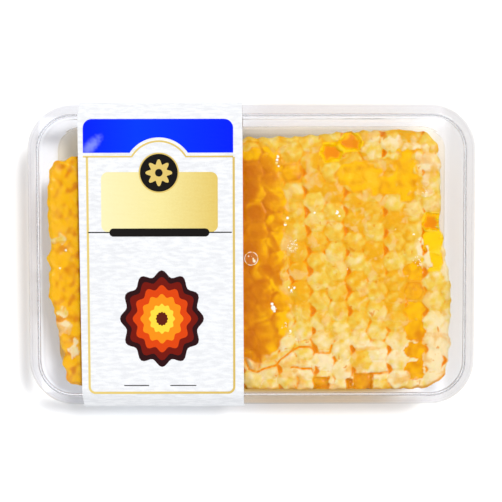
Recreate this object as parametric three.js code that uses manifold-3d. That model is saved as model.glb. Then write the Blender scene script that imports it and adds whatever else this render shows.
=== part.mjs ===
// A slab of cut comb honey, lying flat in a shut clear box with a paper sleeve round one end.
// Millimetres, +Z up. The origin is the middle of the footprint, on the surface the sleeve lies on.
import * as THREE from "three";
import { mergeVertices } from "three/addons/utils/BufferGeometryUtils.js";
import Module from "manifold-3d";

const wasm = await Module();
wasm.setup();

// ---- driving dimensions ----------------------------------------------------------------------
const BOX = { length: 119, width: 80, corner: 12, leastCorner: 4, cornerSteps: 7 }; // flange outline
const SHEET = 0.5; // clear sheet of tray and lid
const FOOT_Z = 0.4; // underside of the tray's foot ring, just above the sleeve
const PANEL_Z = 1.6; // underside of the raised floor inside the foot ring
const FLANGE_Z = 25.9; // underside of the tray's flange
const LID_TOP_Z = 32.2;
const LID_SEAT = 0.1; // air between the two flanges
const PAPER = { thickness: 0.3, left: -45.6, right: -2.1, side: 40.7, foot: 34.3, air: 0.1 };
const POOL = { level: 6.0, sheet: 0.5, air: 0.15 }; // honey that has run out under and round the comb

const COMB = {
  top: 28.9, // height of the seams between the caps
  underside: 3.8, // height of the seams underneath
  rib: 15.6, // the wall between the two layers of cells
  ribHalf: 0.45,
  capRise: 0.5, // how far a cap stands above its seams
  capEdge: 0.26, // share of the way from a corner to the centre where the cap starts
  capSkin: 0.9, // wax left over a cell that is cut open from the side
  wall: 0.12, // share of a cell that its wax walls take
  cutReach: 0.5, // a cell whose centre is this many pitches outside the side still shows as a cut
  cutDepth: 0.4, // and so does one whose centre is this many inside it
  clear: 0.35, // air to the tray, lid and pool
  openDepth: 5.5, // how deep a cell without a cap is empty
};
// The lattice: columns of cells run along Y, cells in a column share a flat wall. Columns lean a little
// and spread towards +Y.
const CELL = { pitch: 5.28, column: 4.96, spread: 0.27, lean: 0.93, jitter: 0.34 };
const CELL_0 = { x: 43.74, y: -30.68, leanFrom: -24.98, leanOver: 38.5 };
// Cells with no cap, by column and row.
const OPEN_CELLS = [
  [0, 0], [0, 1], [0, 2], [0, 3], [0, 4], [0, 5], [1, 5], [1, 6], [1, 7], [-4, 13], [-3, 13],
];

// Outline of the cut slab at its top, anticlockwise from the middle of the far side.
const OUTLINE = [
  [-2, 31.2], [-23.8, 29], [-47.1, 26.3], [-52.8, 23.9], [-54.3, 17.8], [-53, 4.8], [-53.6, -7.3],
  [-51.2, -17.9], [-50.3, -28.6], [-46.9, -34.4], [-23.8, -34.9], [-2, -35.1], [19.8, -35.5],
  [39.6, -35.2], [49.7, -33.6], [52.6, -27.7], [53.1, -17.1], [52.8, -6.5], [50.7, 6.4], [50.3, 14.8],
  [49.9, 27.1], [47.1, 32], [39.7, 33.3], [25, 32.9], [13.2, 31.7],
];
// Size of the outline at three heights: the slab is a little smaller at its underside.
const TAPER = [[0.8, 0.965], [15.6, 0.99], [31.9, 1]];

// ---- small helpers ---------------------------------------------------------------------------
/** A repeatable number from 0 to 1 for a cell and a purpose. */
function chance(column, row, purpose) {
  const s = Math.sin(column * 127.1 + row * 311.7 + purpose * 74.7) * 43758.5453;
  return s - Math.floor(s);
}

/** A closed mesh from points and triangles, as one geometry with shared vertices. */
function meshGeometry(points, triangles) {
  const geometry = new THREE.BufferGeometry();
  geometry.setAttribute("position", new THREE.Float32BufferAttribute(points.flat(), 3));
  geometry.setIndex(triangles.flat());
  return geometry;
}

/** A geometry as a solid that can be joined and cut. */
function toSolid(geometry) {
  const bare = geometry.clone();
  bare.deleteAttribute("normal");
  bare.deleteAttribute("uv");
  const merged = mergeVertices(bare, 1e-5);
  return new wasm.Manifold(
    new wasm.Mesh({
      numProp: 3,
      vertProperties: new Float32Array(merged.attributes.position.array),
      triVerts: new Uint32Array(merged.index.array),
    }),
  );
}

/** A solid back as a geometry. */
function fromSolid(solid) {
  const mesh = solid.getMesh();
  const geometry = new THREE.BufferGeometry();
  geometry.setAttribute("position", new THREE.BufferAttribute(new Float32Array(mesh.vertProperties), 3));
  geometry.setIndex(new THREE.BufferAttribute(new Uint32Array(mesh.triVerts), 1));
  return geometry;
}

/** The loop that lies `inset` inside the flange outline, anticlockwise, at height z. */
function boxLoop([inset, z]) {
  const radius = Math.max(BOX.corner - inset, BOX.leastCorner);
  const halfX = BOX.length / 2 - inset - radius;
  const halfY = BOX.width / 2 - inset - radius;
  const loop = [];
  for (const [sideX, sideY, start] of [[1, 1, 0], [-1, 1, 1], [-1, -1, 2], [1, -1, 3]]) {
    for (let step = 0; step <= BOX.cornerSteps; step += 1) {
      const angle = ((start + step / BOX.cornerSteps) * Math.PI) / 2;
      loop.push([
        sideX * halfX + radius * Math.cos(angle),
        sideY * halfY + radius * Math.sin(angle),
        z,
      ]);
    }
  }
  return loop;
}

/** A solid skinned over loops of equal length, closed by a fan at the first and the last. */
function skinLoops(loops) {
  const count = loops[0].length;
  const points = loops.flat();
  const triangles = [];
  for (let ring = 0; ring + 1 < loops.length; ring += 1) {
    for (let i = 0; i < count; i += 1) {
      const a = ring * count + i;
      const b = ring * count + ((i + 1) % count);
      triangles.push([a, b, b + count], [a, b + count, a + count]);
    }
  }
  const first = points.push([0, 0, loops[0][0][2]]) - 1;
  const last = points.push([0, 0, loops.at(-1)[0][2]]) - 1;
  const top = (loops.length - 1) * count;
  for (let i = 0; i < count; i += 1) {
    const next = (i + 1) % count;
    triangles.push([next, i, first], [top + i, top + next, last]);
  }
  return meshGeometry(points, triangles);
}

// ---- clear tray and lid ----------------------------------------------------------------------
const WALL_TOP = [3.3, 25.2]; // inset and height where the tray's wall meets its flange, outside
const WALL_FOOT = [5.3, 2.2]; // and where it meets the curve to the foot

/** Inset of the tray's inner face at height z, on the straight part of the wall. */
function innerInset(z) {
  const share = (z - WALL_FOOT[1]) / (WALL_TOP[1] - WALL_FOOT[1]);
  return WALL_FOOT[0] + SHEET + share * (WALL_TOP[0] - WALL_FOOT[0]);
}

function makeTray() {
  const outside = [
    [11.6, PANEL_Z], [10.4, FOOT_Z], [7.3, FOOT_Z], [6.0, 0.9], WALL_FOOT, WALL_TOP, [2.9, FLANGE_Z],
    [0.5, FLANGE_Z], [0.4, FLANGE_Z - 0.8], [0, FLANGE_Z - 0.8],
  ];
  const inside = [
    [0, FLANGE_Z + SHEET], [2.7, FLANGE_Z + SHEET], [3.4, FLANGE_Z + 0.1], [innerInset(25.1), 25.1],
    [innerInset(2.4), 2.4], [6.5, 1.35], [7.5, FOOT_Z + SHEET], [10.2, FOOT_Z + SHEET],
    [11.4, PANEL_Z + SHEET],
  ];
  return skinLoops([...outside, ...inside].map(boxLoop));
}

function makeLid() {
  const seat = FLANGE_Z + SHEET + LID_SEAT;
  const inside = [
    [4.6, LID_TOP_Z - SHEET], [3.9, LID_TOP_Z - SHEET - 0.25], [3.5, LID_TOP_Z - SHEET - 0.9],
    [2.95, seat + SHEET], [2.8, seat],
  ];
  const outside = [
    [0, seat], [0, seat + SHEET], [2.3, seat + SHEET], [2.5, seat + SHEET + 0.3],
    [3.0, LID_TOP_Z - 1.1], [3.5, LID_TOP_Z - 0.35], [4.4, LID_TOP_Z],
  ];
  return skinLoops([...inside, ...outside].map(boxLoop));
}

// ---- paper sleeve ----------------------------------------------------------------------------
/** Half of the sleeve's section, from the top's fold to the foot: [y, z] on its outer face. */
function sleeveHalf(shrink) {
  const top = LID_TOP_Z + PAPER.air + PAPER.thickness;
  return [
    [36.3, top - shrink],
    [37.5 - 0.5 * shrink, top - 0.9 - 0.7 * shrink],
    [PAPER.side - shrink, FLANGE_Z + 1.6 - 0.4 * shrink],
    [PAPER.side - shrink, FLANGE_Z - 1.1 + 0.3 * shrink],
    [PAPER.foot + 0.9 - shrink, 0.9 + 0.3 * shrink],
    [PAPER.foot - shrink, shrink],
  ];
}

function makeSleeve() {
  const ring = (shrink) => {
    const half = sleeveHalf(shrink).map(([y, z]) => new THREE.Vector2(y, z));
    const mirrored = half.map((p) => new THREE.Vector2(-p.x, p.y)).reverse();
    return [...half, ...mirrored].reverse(); // anticlockwise
  };
  const shape = new THREE.Shape(ring(0));
  shape.holes.push(new THREE.Path(ring(PAPER.thickness)));
  const geometry = new THREE.ExtrudeGeometry(shape, {
    depth: PAPER.right - PAPER.left,
    bevelEnabled: false,
    steps: 1,
    curveSegments: 1,
  });
  // The shape's x, y and depth become Y, Z and X.
  geometry.applyMatrix4(new THREE.Matrix4().set(0, 0, 1, PAPER.left, 1, 0, 0, 0, 0, 1, 0, 0, 0, 0, 0, 1));
  return fromSolid(toSolid(geometry));
}

// ---- comb ------------------------------------------------------------------------------------
/** Smooth rolling of the comb's face, in millimetres. */
function roll(x, y) {
  return 0.28 * Math.sin(0.083 * x + 0.6) + 0.22 * Math.sin(0.12 * y - 0.05 * x + 1.1);
}

/** Centre of a cell. The under layer is shifted so that each of its cells backs three above. */
function cellCentre(column, row, under) {
  const shift = under ? CELL.pitch / Math.sqrt(3) : 0;
  const wobble = (purpose) => CELL.jitter * (chance(column, row, purpose + (under ? 10 : 0)) - 0.5);
  const y = CELL_0.y + CELL.pitch * (row + column / 2);
  const t = (y - CELL_0.leanFrom) / CELL_0.leanOver;
  const x = CELL_0.x - CELL.lean * t + column * (CELL.column + CELL.spread * t) - shift;
  return [x + wobble(1), y + wobble(2)];
}

const AROUND = [[1, 0], [0, 1], [-1, 1], [-1, 0], [0, -1], [1, -1]]; // neighbours, anticlockwise

/** The six corners of a cell: each is the middle of three cell centres that meet there. */
function cellCorners(column, row, under) {
  const centre = cellCentre(column, row, under);
  const near = AROUND.map(([dc, dr]) => cellCentre(column + dc, row + dr, under));
  return near.map((a, i) => {
    const b = near[(i + 1) % 6];
    return [(centre[0] + a[0] + b[0]) / 3, (centre[1] + a[1] + b[1]) / 3];
  });
}

/** Signed distance from a point to the slab's side at height z, positive outside. */
function sideDistance([px, py], z) {
  let nearest = Infinity;
  let inside = false;
  const loop = slabLoop(z, 0);
  loop.forEach(([ax, ay], i) => {
    const [bx, by] = loop[(i + 1) % loop.length];
    const along = ((px - ax) * (bx - ax) + (py - ay) * (by - ay)) / ((bx - ax) ** 2 + (by - ay) ** 2);
    const t = Math.min(1, Math.max(0, along));
    nearest = Math.min(nearest, Math.hypot(px - ax - t * (bx - ax), py - ay - t * (by - ay)));
    if (ay > py !== by > py && px < ((bx - ax) * (py - ay)) / (by - ay) + ax) inside = !inside;
  });
  const wallInset = innerInset(Math.min(z, WALL_TOP[1])) + COMB.clear;
  return Math.max(inside ? -nearest : nearest, wallDistance([px, py], wallInset));
}

/** Signed distance from a point to the loop that lies `inset` inside the flange outline. */
function wallDistance([px, py], inset) {
  const radius = Math.max(BOX.corner - inset, BOX.leastCorner);
  const beyondX = Math.abs(px) - (BOX.length / 2 - inset - radius);
  const beyondY = Math.abs(py) - (BOX.width / 2 - inset - radius);
  const corner = Math.hypot(Math.max(beyondX, 0), Math.max(beyondY, 0));
  return corner + Math.min(Math.max(beyondX, beyondY), 0) - radius;
}

/** All cells of a layer whose centre lies less than `reach` outside the slab's side at height z. */
function layerCells(under, reach, z) {
  const cells = [];
  for (let column = -24; column <= 5; column += 1) {
    for (let row = -8; row <= 32; row += 1) {
      const centre = cellCentre(column, row, under);
      const out = sideDistance(centre, z);
      if (out < reach) cells.push({ column, row, centre, out });
    }
  }
  return cells;
}

/** Half of the slab: the capped face of one layer, down or up to the rib. */
function makeLayer(under) {
  const sign = under ? -1 : 1;
  const face = under ? COMB.underside : COMB.top;
  const back = COMB.rib - sign * 0.05;
  const points = [];
  const triangles = [];
  const known = new Map();
  const point = (x, y, z) => {
    const key = `${x.toFixed(4)} ${y.toFixed(4)} ${z.toFixed(4)}`;
    if (!known.has(key)) known.set(key, points.push([x, y, z]) - 1);
    return known.get(key);
  };
  const facet = (a, b, c) => triangles.push(under ? [a, c, b] : [a, b, c]);
  const height = (x, y) => face + (under ? 0 : roll(x, y));
  for (const { column, row, centre } of layerCells(under, CELL.pitch * 1.3, COMB.top)) {
    const corners = cellCorners(column, row, under);
    const open = !under && OPEN_CELLS.some(([c, r]) => c === column && r === row);
    const rise = sign * COMB.capRise * (0.7 + 0.6 * chance(column, row, 3));
    const rim = corners.map(([x, y]) => point(x, y, height(x, y)));
    const heart = height(...centre) + (open ? -COMB.openDepth : rise);
    const inward = (share, drop) =>
      corners.map(([x, y]) => {
        const ix = x + share * (centre[0] - x);
        const iy = y + share * (centre[1] - y);
        return point(ix, iy, open ? height(x, y) - drop : height(ix, iy) + 0.92 * rise);
      });
    const rings = [rim];
    if (!under) rings.push(inward(open ? COMB.wall : COMB.capEdge, 0.1));
    if (open) rings.push(inward(COMB.wall + 0.08, COMB.openDepth));
    const middle = point(centre[0], centre[1], heart);
    const below = corners.map(([x, y]) => point(x, y, back));
    const root = point(centre[0], centre[1], back);
    for (let i = 0; i < 6; i += 1) {
      const next = (i + 1) % 6;
      for (let ring = 0; ring + 1 < rings.length; ring += 1) {
        facet(rings[ring][i], rings[ring][next], rings[ring + 1][next]);
        facet(rings[ring][i], rings[ring + 1][next], rings[ring + 1][i]);
      }
      facet(rings.at(-1)[i], rings.at(-1)[next], middle);
      facet(below[next], below[i], root);
    }
  }
  return toSolid(closeSkirt(points, triangles, back, point));
}

/** Adds the upright skirt between a face and its flat back, along the edges used only once. */
function closeSkirt(points, triangles, back, point) {
  const uses = new Map();
  for (const [a, b, c] of triangles) {
    for (const [u, v] of [[a, b], [b, c], [c, a]]) uses.set(`${u} ${v}`, [u, v]);
  }
  const skirt = [];
  for (const [u, v] of uses.values()) {
    if (uses.has(`${v} ${u}`) || points[u][2] === back) continue;
    const under = [u, v].map((i) => point(points[i][0], points[i][1], back));
    skirt.push([v, u, under[0]], [v, under[0], under[1]]);
  }
  return meshGeometry(points, [...triangles, ...skirt]);
}

/** The slab's outline at height z, tapered, and grown outwards by a margin. */
function slabLoop(z, margin) {
  const upper = Math.max(1, TAPER.findIndex(([level]) => level >= z));
  const [[z0, scale0], [z1, scale1]] = [TAPER[upper - 1], TAPER[upper]];
  const scale = scale0 + ((z - z0) / (z1 - z0)) * (scale1 - scale0);
  return OUTLINE.map(([x, y], i) => {
    const before = OUTLINE.at(i - 1);
    const after = OUTLINE[(i + 1) % OUTLINE.length];
    const run = [after[0] - before[0], after[1] - before[1]];
    const length = Math.hypot(...run);
    return [scale * x + (margin * run[1]) / length, scale * y - (margin * run[0]) / length, z];
  });
}

/** The space that the slab may fill: its outline, clear of tray and lid. */
function makeCombSpace() {
  const loops = TAPER.map(([z]) => slabLoop(z, 0));
  const inside = [
    [7.5 + COMB.clear, FOOT_Z + SHEET + COMB.clear],
    [innerInset(2.4) + COMB.clear, 2.4],
    [innerInset(25.1) + COMB.clear, 25.1],
    [2.95 + COMB.clear + 0.3, 27.0],
    [3.6 + COMB.clear, LID_TOP_Z - SHEET - COMB.clear],
  ];
  return toSolid(skinLoops(loops)).intersect(toSolid(skinLoops(inside.map(boxLoop))));
}

/** Prism of one cell's hollow between two heights. */
function cellBore(cell, under, low, high) {
  const ring = cellCorners(cell.column, cell.row, under).map(([x, y]) => [
    x + COMB.wall * (cell.centre[0] - x),
    y + COMB.wall * (cell.centre[1] - y),
  ]);
  const points = [low, high].flatMap((z) => [...ring.map(([x, y]) => [x, y, z]), [...cell.centre, z]]);
  const triangles = [];
  for (let i = 0; i < 6; i += 1) {
    const next = (i + 1) % 6;
    triangles.push([i, next, next + 7], [i, next + 7, i + 7], [next, i, 6], [i + 7, next + 7, 13]);
  }
  return toSolid(meshGeometry(points, triangles));
}

function makeComb() {
  let comb = makeLayer(false).add(makeLayer(true)).intersect(makeCombSpace());
  for (const under of [false, true]) {
    const low = under ? COMB.underside + COMB.capSkin : COMB.rib + COMB.ribHalf;
    const high = under ? COMB.rib - COMB.ribHalf : COMB.top - COMB.capSkin;
    for (const cell of layerCells(under, COMB.cutReach * CELL.pitch, low + 0.6 * (high - low))) {
      if (cell.out > -COMB.cutDepth * CELL.pitch) comb = comb.subtract(cellBore(cell, under, low, high));
    }
  }
  return fromSolid(comb);
}

// ---- honey on the tray's floor ---------------------------------------------------------------
function makePool() {
  const floor = PANEL_Z + SHEET + POOL.air;
  const loops = [
    [11.5, floor], [10.3, FOOT_Z + SHEET + POOL.air], [7.6, FOOT_Z + SHEET + POOL.air],
    [6.7, 1.55], [innerInset(2.5) + POOL.air, 2.5], [innerInset(POOL.level) + POOL.air, POOL.level],
  ];
  const bed = toSolid(skinLoops(loops.map(boxLoop)));
  const hollow = [floor + POOL.sheet, COMB.rib].map((z) => slabLoop(z, COMB.clear));
  return fromSolid(bed.subtract(toSolid(skinLoops(hollow))));
}

// ---- the object ------------------------------------------------------------------------------
const CLEAR = { roughness: 0.05, metalness: 0, transparent: true, opacity: 0.25 };
const part = new THREE.Group();

function addPiece(name, geometry, finish) {
  const mesh = new THREE.Mesh(geometry, new THREE.MeshStandardMaterial(finish));
  mesh.name = name;
  part.add(mesh);
}

addPiece("tray", makeTray(), { color: 0xeef1f0, ...CLEAR });
addPiece("lid", makeLid(), { color: 0xf4f6f5, ...CLEAR });
addPiece("comb", makeComb(), { color: 0xf6d27a, roughness: 0.45, metalness: 0 });
addPiece("honey_pool", makePool(), { color: 0xe59a1c, roughness: 0.1, metalness: 0 });
addPiece("sleeve", makeSleeve(), { color: 0xf4f2f0, roughness: 0.85, metalness: 0 });

export default part;
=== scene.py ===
"""Looks of a slab of cut comb honey, shut in a clear box with a paper sleeve round one end.

Lengths are millimetres in the classes below and metres in the scene, with +Z up.
"""

import logging
import math
from contextlib import contextmanager
from dataclasses import dataclass
from enum import Enum, IntEnum
from typing import Callable, Iterator, NamedTuple, Optional, Sequence, Union

import bmesh
import bpy
import numpy as np
from bpy.types import Material, Node, NodeSocket, Object
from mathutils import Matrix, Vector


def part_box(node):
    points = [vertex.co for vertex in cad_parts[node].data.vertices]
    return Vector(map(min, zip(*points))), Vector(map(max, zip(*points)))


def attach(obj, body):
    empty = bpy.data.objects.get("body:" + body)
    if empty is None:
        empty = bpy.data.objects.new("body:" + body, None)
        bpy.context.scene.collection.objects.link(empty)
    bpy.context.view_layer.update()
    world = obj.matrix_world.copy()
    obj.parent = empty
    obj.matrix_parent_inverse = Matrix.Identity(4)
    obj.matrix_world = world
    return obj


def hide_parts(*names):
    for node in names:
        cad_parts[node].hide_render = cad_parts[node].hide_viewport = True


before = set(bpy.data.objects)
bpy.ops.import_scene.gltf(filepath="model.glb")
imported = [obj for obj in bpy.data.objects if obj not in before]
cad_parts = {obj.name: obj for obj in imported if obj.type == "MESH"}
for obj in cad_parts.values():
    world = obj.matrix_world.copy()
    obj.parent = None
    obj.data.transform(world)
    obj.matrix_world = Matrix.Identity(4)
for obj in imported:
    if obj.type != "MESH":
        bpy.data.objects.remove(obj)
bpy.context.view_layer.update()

MM = 0.001
BODY = "root"
WAVE_TRAINS = 7
Feed = Union[float, tuple, NodeSocket]
Array = np.ndarray
log = logging.getLogger("comb")


class Slot(Enum):
    """Material slots of the record."""

    SHEET = "clear_sheet"
    WAX = "comb_wax"
    HONEY = "honey"
    PAPER = "sleeve_paper"


# ---- numbers and outlines -----------------------------------------------------------------------
class Ripple(NamedTuple):
    """Smooth uneven rolling: its height, the rough distance between crests, and its seed."""

    height: float
    length: float
    seed: int


def srgb(red: int, green: int, blue: int) -> tuple[float, float, float, float]:
    """Turns a colour in 0 to 255 steps into a linear one with full alpha."""
    def linear(step: int) -> float:
        """Turns one channel."""
        share = step / 255
        return share / 12.92 if share <= 0.04045 else ((share + 0.055) / 1.055) ** 2.4
    return linear(red), linear(green), linear(blue), 1.0


def ease(value: Array, low: float, high: float) -> Array:
    """Rises smoothly from 0 at low to 1 at high."""
    share = np.clip((value - low) / (high - low), 0.0, 1.0)
    return share * share * (3.0 - 2.0 * share)


def blend(first: Array, second: Union[Array, float], share: Array) -> Array:
    """Goes from the first value at share 0 to the second at share 1."""
    return first + (second - first) * share


def rolling(x: Array, y: Array, *ripples: Ripple) -> Array:
    """Adds up ripples.

    Args:
        x: Place along X in millimetres.
        y: Place along Y in millimetres.
        ripples: The ripples.

    Returns:
        The height at each place.
    """
    height = np.zeros_like(x, dtype=float)
    for ripple in ripples:
        draw = np.random.default_rng(ripple.seed)
        total = np.zeros_like(height)
        for _ in range(WAVE_TRAINS):
            angle, phase = draw.uniform(0.0, 2.0 * math.pi, 2)
            pace = 2.0 * math.pi / (ripple.length * draw.uniform(0.7, 1.5))
            total += np.sin(pace * (x * math.cos(angle) + y * math.sin(angle)) + phase)
        height += ripple.height * total / math.sqrt(WAVE_TRAINS)
    return height


def arc(cx: float, cy: float, radius: float, start: float, end: float, steps: int) -> list:
    """Returns the points of an arc round a middle, from start to end in quarter turns."""
    points = []
    for step in range(steps + 1):
        angle = (start + (end - start) * step / steps) * math.pi / 2
        points.append((cx + radius * math.cos(angle), cy + radius * math.sin(angle)))
    return points


def bend(start: Array, corner: Array, end: Array, steps: int) -> list:
    """Returns the points of a soft bend that takes a corner's place."""
    shares = [step / steps for step in range(steps + 1)]
    return [(1 - t) ** 2 * start + 2 * t * (1 - t) * corner + t ** 2 * end for t in shares]


def round_corners(corners: Sequence[tuple], radius: float, steps: int) -> list:
    """Rounds the corners of a closed flat outline.

    Args:
        corners: Points of the outline.
        radius: How far from a corner the round starts, at most.
        steps: Number of edges in each round.

    Returns:
        The points of the rounded outline.
    """
    points = [np.array(corner, dtype=float) for corner in corners]
    rounded = []
    for index, corner in enumerate(points):
        arms = points[index - 1] - corner, points[(index + 1) % len(points)] - corner
        lengths = [np.linalg.norm(arm) for arm in arms]
        reach = min(radius, *(0.45 * length for length in lengths))
        start, end = (corner + arm / length * reach for arm, length in zip(arms, lengths))
        rounded.extend(bend(start, corner, end, steps))
    return rounded


def outward(ring: Array, reach: int) -> Array:
    """Returns the outward direction at each point of an anticlockwise ring, taken over a reach."""
    run = np.roll(ring, -reach, axis=0) - np.roll(ring, reach, axis=0)
    return np.stack([run[:, 1], -run[:, 0]], axis=1) / np.hypot(run[:, 0], run[:, 1])[:, None]


def lines_distance(x: Array, y: Array, lines: Sequence[Sequence[tuple]]) -> Array:
    """Returns each place's distance to the nearest of some bent lines."""
    nearest = np.full(x.shape, np.inf)
    for line in lines:
        for (ax, ay), (bx, by) in zip(line, line[1:]):
            run_x, run_y = bx - ax, by - ay
            t = np.clip(((x - ax) * run_x + (y - ay) * run_y) / (run_x ** 2 + run_y ** 2), 0.0, 1.0)
            nearest = np.minimum(nearest, np.hypot(x - ax - t * run_x, y - ay - t * run_y))
    return nearest


# ---- pieces -------------------------------------------------------------------------------------
def take_up(piece: Object) -> None:
    """Makes a piece the only selected object and the active one."""
    bpy.ops.object.select_all(action="DESELECT")
    piece.select_set(True)
    bpy.context.view_layer.objects.active = piece


@contextmanager
def edit_mode(piece: Object) -> Iterator[None]:
    """Opens a piece in edit mode with all of it selected, and closes it again."""
    take_up(piece)
    bpy.ops.object.mode_set(mode="EDIT")
    bpy.ops.mesh.select_all(action="SELECT")
    yield
    bpy.ops.object.mode_set(mode="OBJECT")


def name_piece(name: str) -> Object:
    """Names the active object and its mesh, and returns it."""
    piece = bpy.context.object
    piece.name = piece.data.name = name
    return piece


def start_piece(name: str, add: Callable, **settings: object) -> Object:
    """Adds a primitive with nothing else selected, names it and returns it."""
    bpy.ops.object.select_all(action="DESELECT")
    add(**settings)
    return name_piece(name)


def smooth_faces(piece: Object, degrees: float) -> Object:
    """Shades a piece smooth, with edges sharper than an angle kept hard, and returns it."""
    take_up(piece)
    bpy.ops.object.shade_smooth_by_angle(angle=math.radians(degrees))
    return piece


def dress(piece: Object, finish: Material, slot: Slot, *nodes: str) -> None:
    """Gives a piece its finish and its body, and hides the solids it stands for.

    Args:
        piece: The finished piece.
        finish: Its material.
        slot: The record's slot that the finish belongs to; not used.
        nodes: The CAD nodes that the piece replaces.
    """
    piece.data.materials.clear()
    piece.data.materials.append(finish)
    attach(piece, BODY)
    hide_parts(*nodes)
    log.info("%-18s %7d faces", piece.name, len(piece.data.polygons))


def loft(name: str, rings: Sequence[Array], capped: bool = True) -> Object:
    """Extrudes one ring through a row of rings.

    Args:
        name: Name of the piece.
        rings: Rings of equally many points, each an array of rows x, y, z in millimetres.
        capped: Whether the first and the last ring are closed by a face.

    Returns:
        The piece, with its faces pointing out.
    """
    piece = start_piece(name, bpy.ops.mesh.primitive_circle_add, vertices=len(rings[0]), radius=1.0,
                        fill_type="NGON" if capped else "NOTHING")
    with edit_mode(piece):
        shell = bmesh.from_edit_mesh(piece.data)
        order = shell.verts.layers.int.new("order")
        for index, vertex in enumerate(shell.verts):
            vertex[order] = index
        for step, ring in enumerate(rings):
            if step:
                bpy.ops.mesh.extrude_region()
                shell = bmesh.from_edit_mesh(piece.data)
                order = shell.verts.layers.int["order"]
            for vertex in shell.verts:
                if vertex.select:
                    vertex.co = ring[vertex[order]] * MM
            bmesh.update_edit_mesh(piece.data)
        bpy.ops.mesh.select_all(action="SELECT")
        bpy.ops.mesh.normals_make_consistent(inside=False)
    piece.data.attributes.remove(piece.data.attributes["order"])
    return piece


# ---- finishes -----------------------------------------------------------------------------------
class ShaderKit:
    """Builds the nodes of one material in short calls."""

    def __init__(self, name: str) -> None:
        """Starts an empty material of a name."""
        self.material = bpy.data.materials.new(name)
        self.material.use_nodes = True
        self.tree = self.material.node_tree
        self.tree.nodes.clear()
        self.output = self.tree.nodes.new("ShaderNodeOutputMaterial")
        self.place = self.node("TexCoord").outputs["Object"]

    def feed(self, socket: NodeSocket, value: Feed) -> None:
        """Links a socket, or sets it to a value."""
        if isinstance(value, NodeSocket):
            self.tree.links.new(value, socket)
        else:
            socket.default_value = value

    def node(self, kind: str, feeds: Optional[dict] = None, **settings: object) -> Node:
        """Adds a node.

        Args:
            kind: Its type, without the leading ShaderNode.
            feeds: Values or links of its inputs, by name or number.
            settings: Its properties.

        Returns:
            The node.
        """
        made = self.tree.nodes.new("ShaderNode" + kind)
        for name, value in settings.items():
            setattr(made, name, value)
        for name, value in (feeds or {}).items():
            self.feed(made.inputs[name], value)
        return made

    def math(self, operation: str, first: Feed, *others: Feed) -> NodeSocket:
        """Returns the result of one operation, taken over its values from left to right."""
        for other in others or (0.0,):
            first = self.node("Math", {0: first, 1: other}, operation=operation).outputs[0]
        return first

    def swing(self, value: Feed, gain: float) -> NodeSocket:
        """Returns a value of 0 to 1 as a swing to both sides of 0."""
        return self.math("MULTIPLY", self.math("SUBTRACT", value, 0.5), gain)

    def span(self, value: Feed, low: float, high: float, start: float = 0.0, end: float = 1.0) -> NodeSocket:
        """Returns a value that eases from start at low to end at high."""
        feeds = {"Value": value, "From Min": low, "From Max": high, "To Min": start, "To Max": end}
        return self.node("MapRange", feeds, interpolation_type="SMOOTHSTEP").outputs[0]

    def reach(self, length: Feed, ends: tuple, start: float = 0.0, end: float = 1.0) -> NodeSocket:
        """Returns a value that eases from start to end between two lengths in millimetres."""
        return self.span(length, ends[0] * MM, ends[1] * MM, start, end)

    def axes(self) -> Sequence[NodeSocket]:
        """Returns the place's X, Y and Z."""
        return self.node("SeparateXYZ", {0: self.place}).outputs

    def stretch(self, x: float) -> NodeSocket:
        """Returns the place on the object with its X scaled."""
        return self.node("Mapping", {"Vector": self.place, "Scale": (x, 1.0, 1.0)}).outputs[0]

    def noise(self, grain: float, detail: float, place: Optional[NodeSocket] = None,
              distortion: float = 0.0) -> NodeSocket:
        """Returns noise whose lumps are about a grain in millimetres apart."""
        feeds = {"Vector": place or self.place, "Scale": 1.0 / (grain * MM), "Detail": detail,
                 "Distortion": distortion}
        return self.node("TexNoise", feeds).outputs[0]

    def attribute(self, name: str) -> NodeSocket:
        """Returns a number that the mesh carries."""
        return self.node("Attribute", attribute_name=name).outputs["Fac"]

    def mix(self, factor: Feed, first: Feed, second: Feed) -> NodeSocket:
        """Returns a blend of two colours."""
        return self.node("Mix", {0: factor, 6: first, 7: second}, data_type="RGBA").outputs[2]

    def ramp(self, factor: Feed, *stops: tuple) -> NodeSocket:
        """Returns a colour from a ramp of stops, each a place and a colour."""
        made = self.node("ValToRGB", {"Fac": factor})
        set_stops(made, stops)
        return made.outputs["Color"]

    def bump(self, height: Feed, distance: float) -> NodeSocket:
        """Returns a normal for a height of 0 to 1 over a distance in millimetres."""
        return self.node("Bump", {"Height": height, "Distance": distance * MM}).outputs[0]

    def principled(self, **inputs: Feed) -> Node:
        """Adds the main shader, with inputs named by their words joined by underscores."""
        special = {"ior": "IOR", "specular_ior_level": "Specular IOR Level"}
        feeds = {special.get(key, key.replace("_", " ").title()): value for key, value in inputs.items()}
        return self.node("BsdfPrincipled", feeds)

    def finish(self, shader: Node) -> Material:
        """Links the shader to the output and returns the material."""
        self.tree.links.new(shader.outputs[0], self.output.inputs["Surface"])
        return self.material

    def finish_clear(self, shader: Node, shade: Feed) -> Material:
        """Ends a clear material, whose shadow is a plain tint.

        Args:
            shader: The clear shader.
            shade: Colour of the light that passes on to what lies behind.

        Returns:
            The material.
        """
        ray = self.node("LightPath").outputs
        passing = self.node("BsdfTransparent", {"Color": shade}).outputs[0]
        for kind in ("Is Shadow Ray", "Is Diffuse Ray"):
            shader = self.node("MixShader", {0: ray[kind], 1: shader.outputs[0], 2: passing})
        return self.finish(shader)


def set_stops(ramp: Node, stops: Sequence[tuple]) -> None:
    """Gives a colour ramp its stops, each a place and a colour."""
    marks = ramp.color_ramp.elements
    while len(marks) < len(stops):
        marks.new(0.5)
    for mark, (where, colour) in zip(marks, stops):
        mark.position = where
        mark.color = colour


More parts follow.
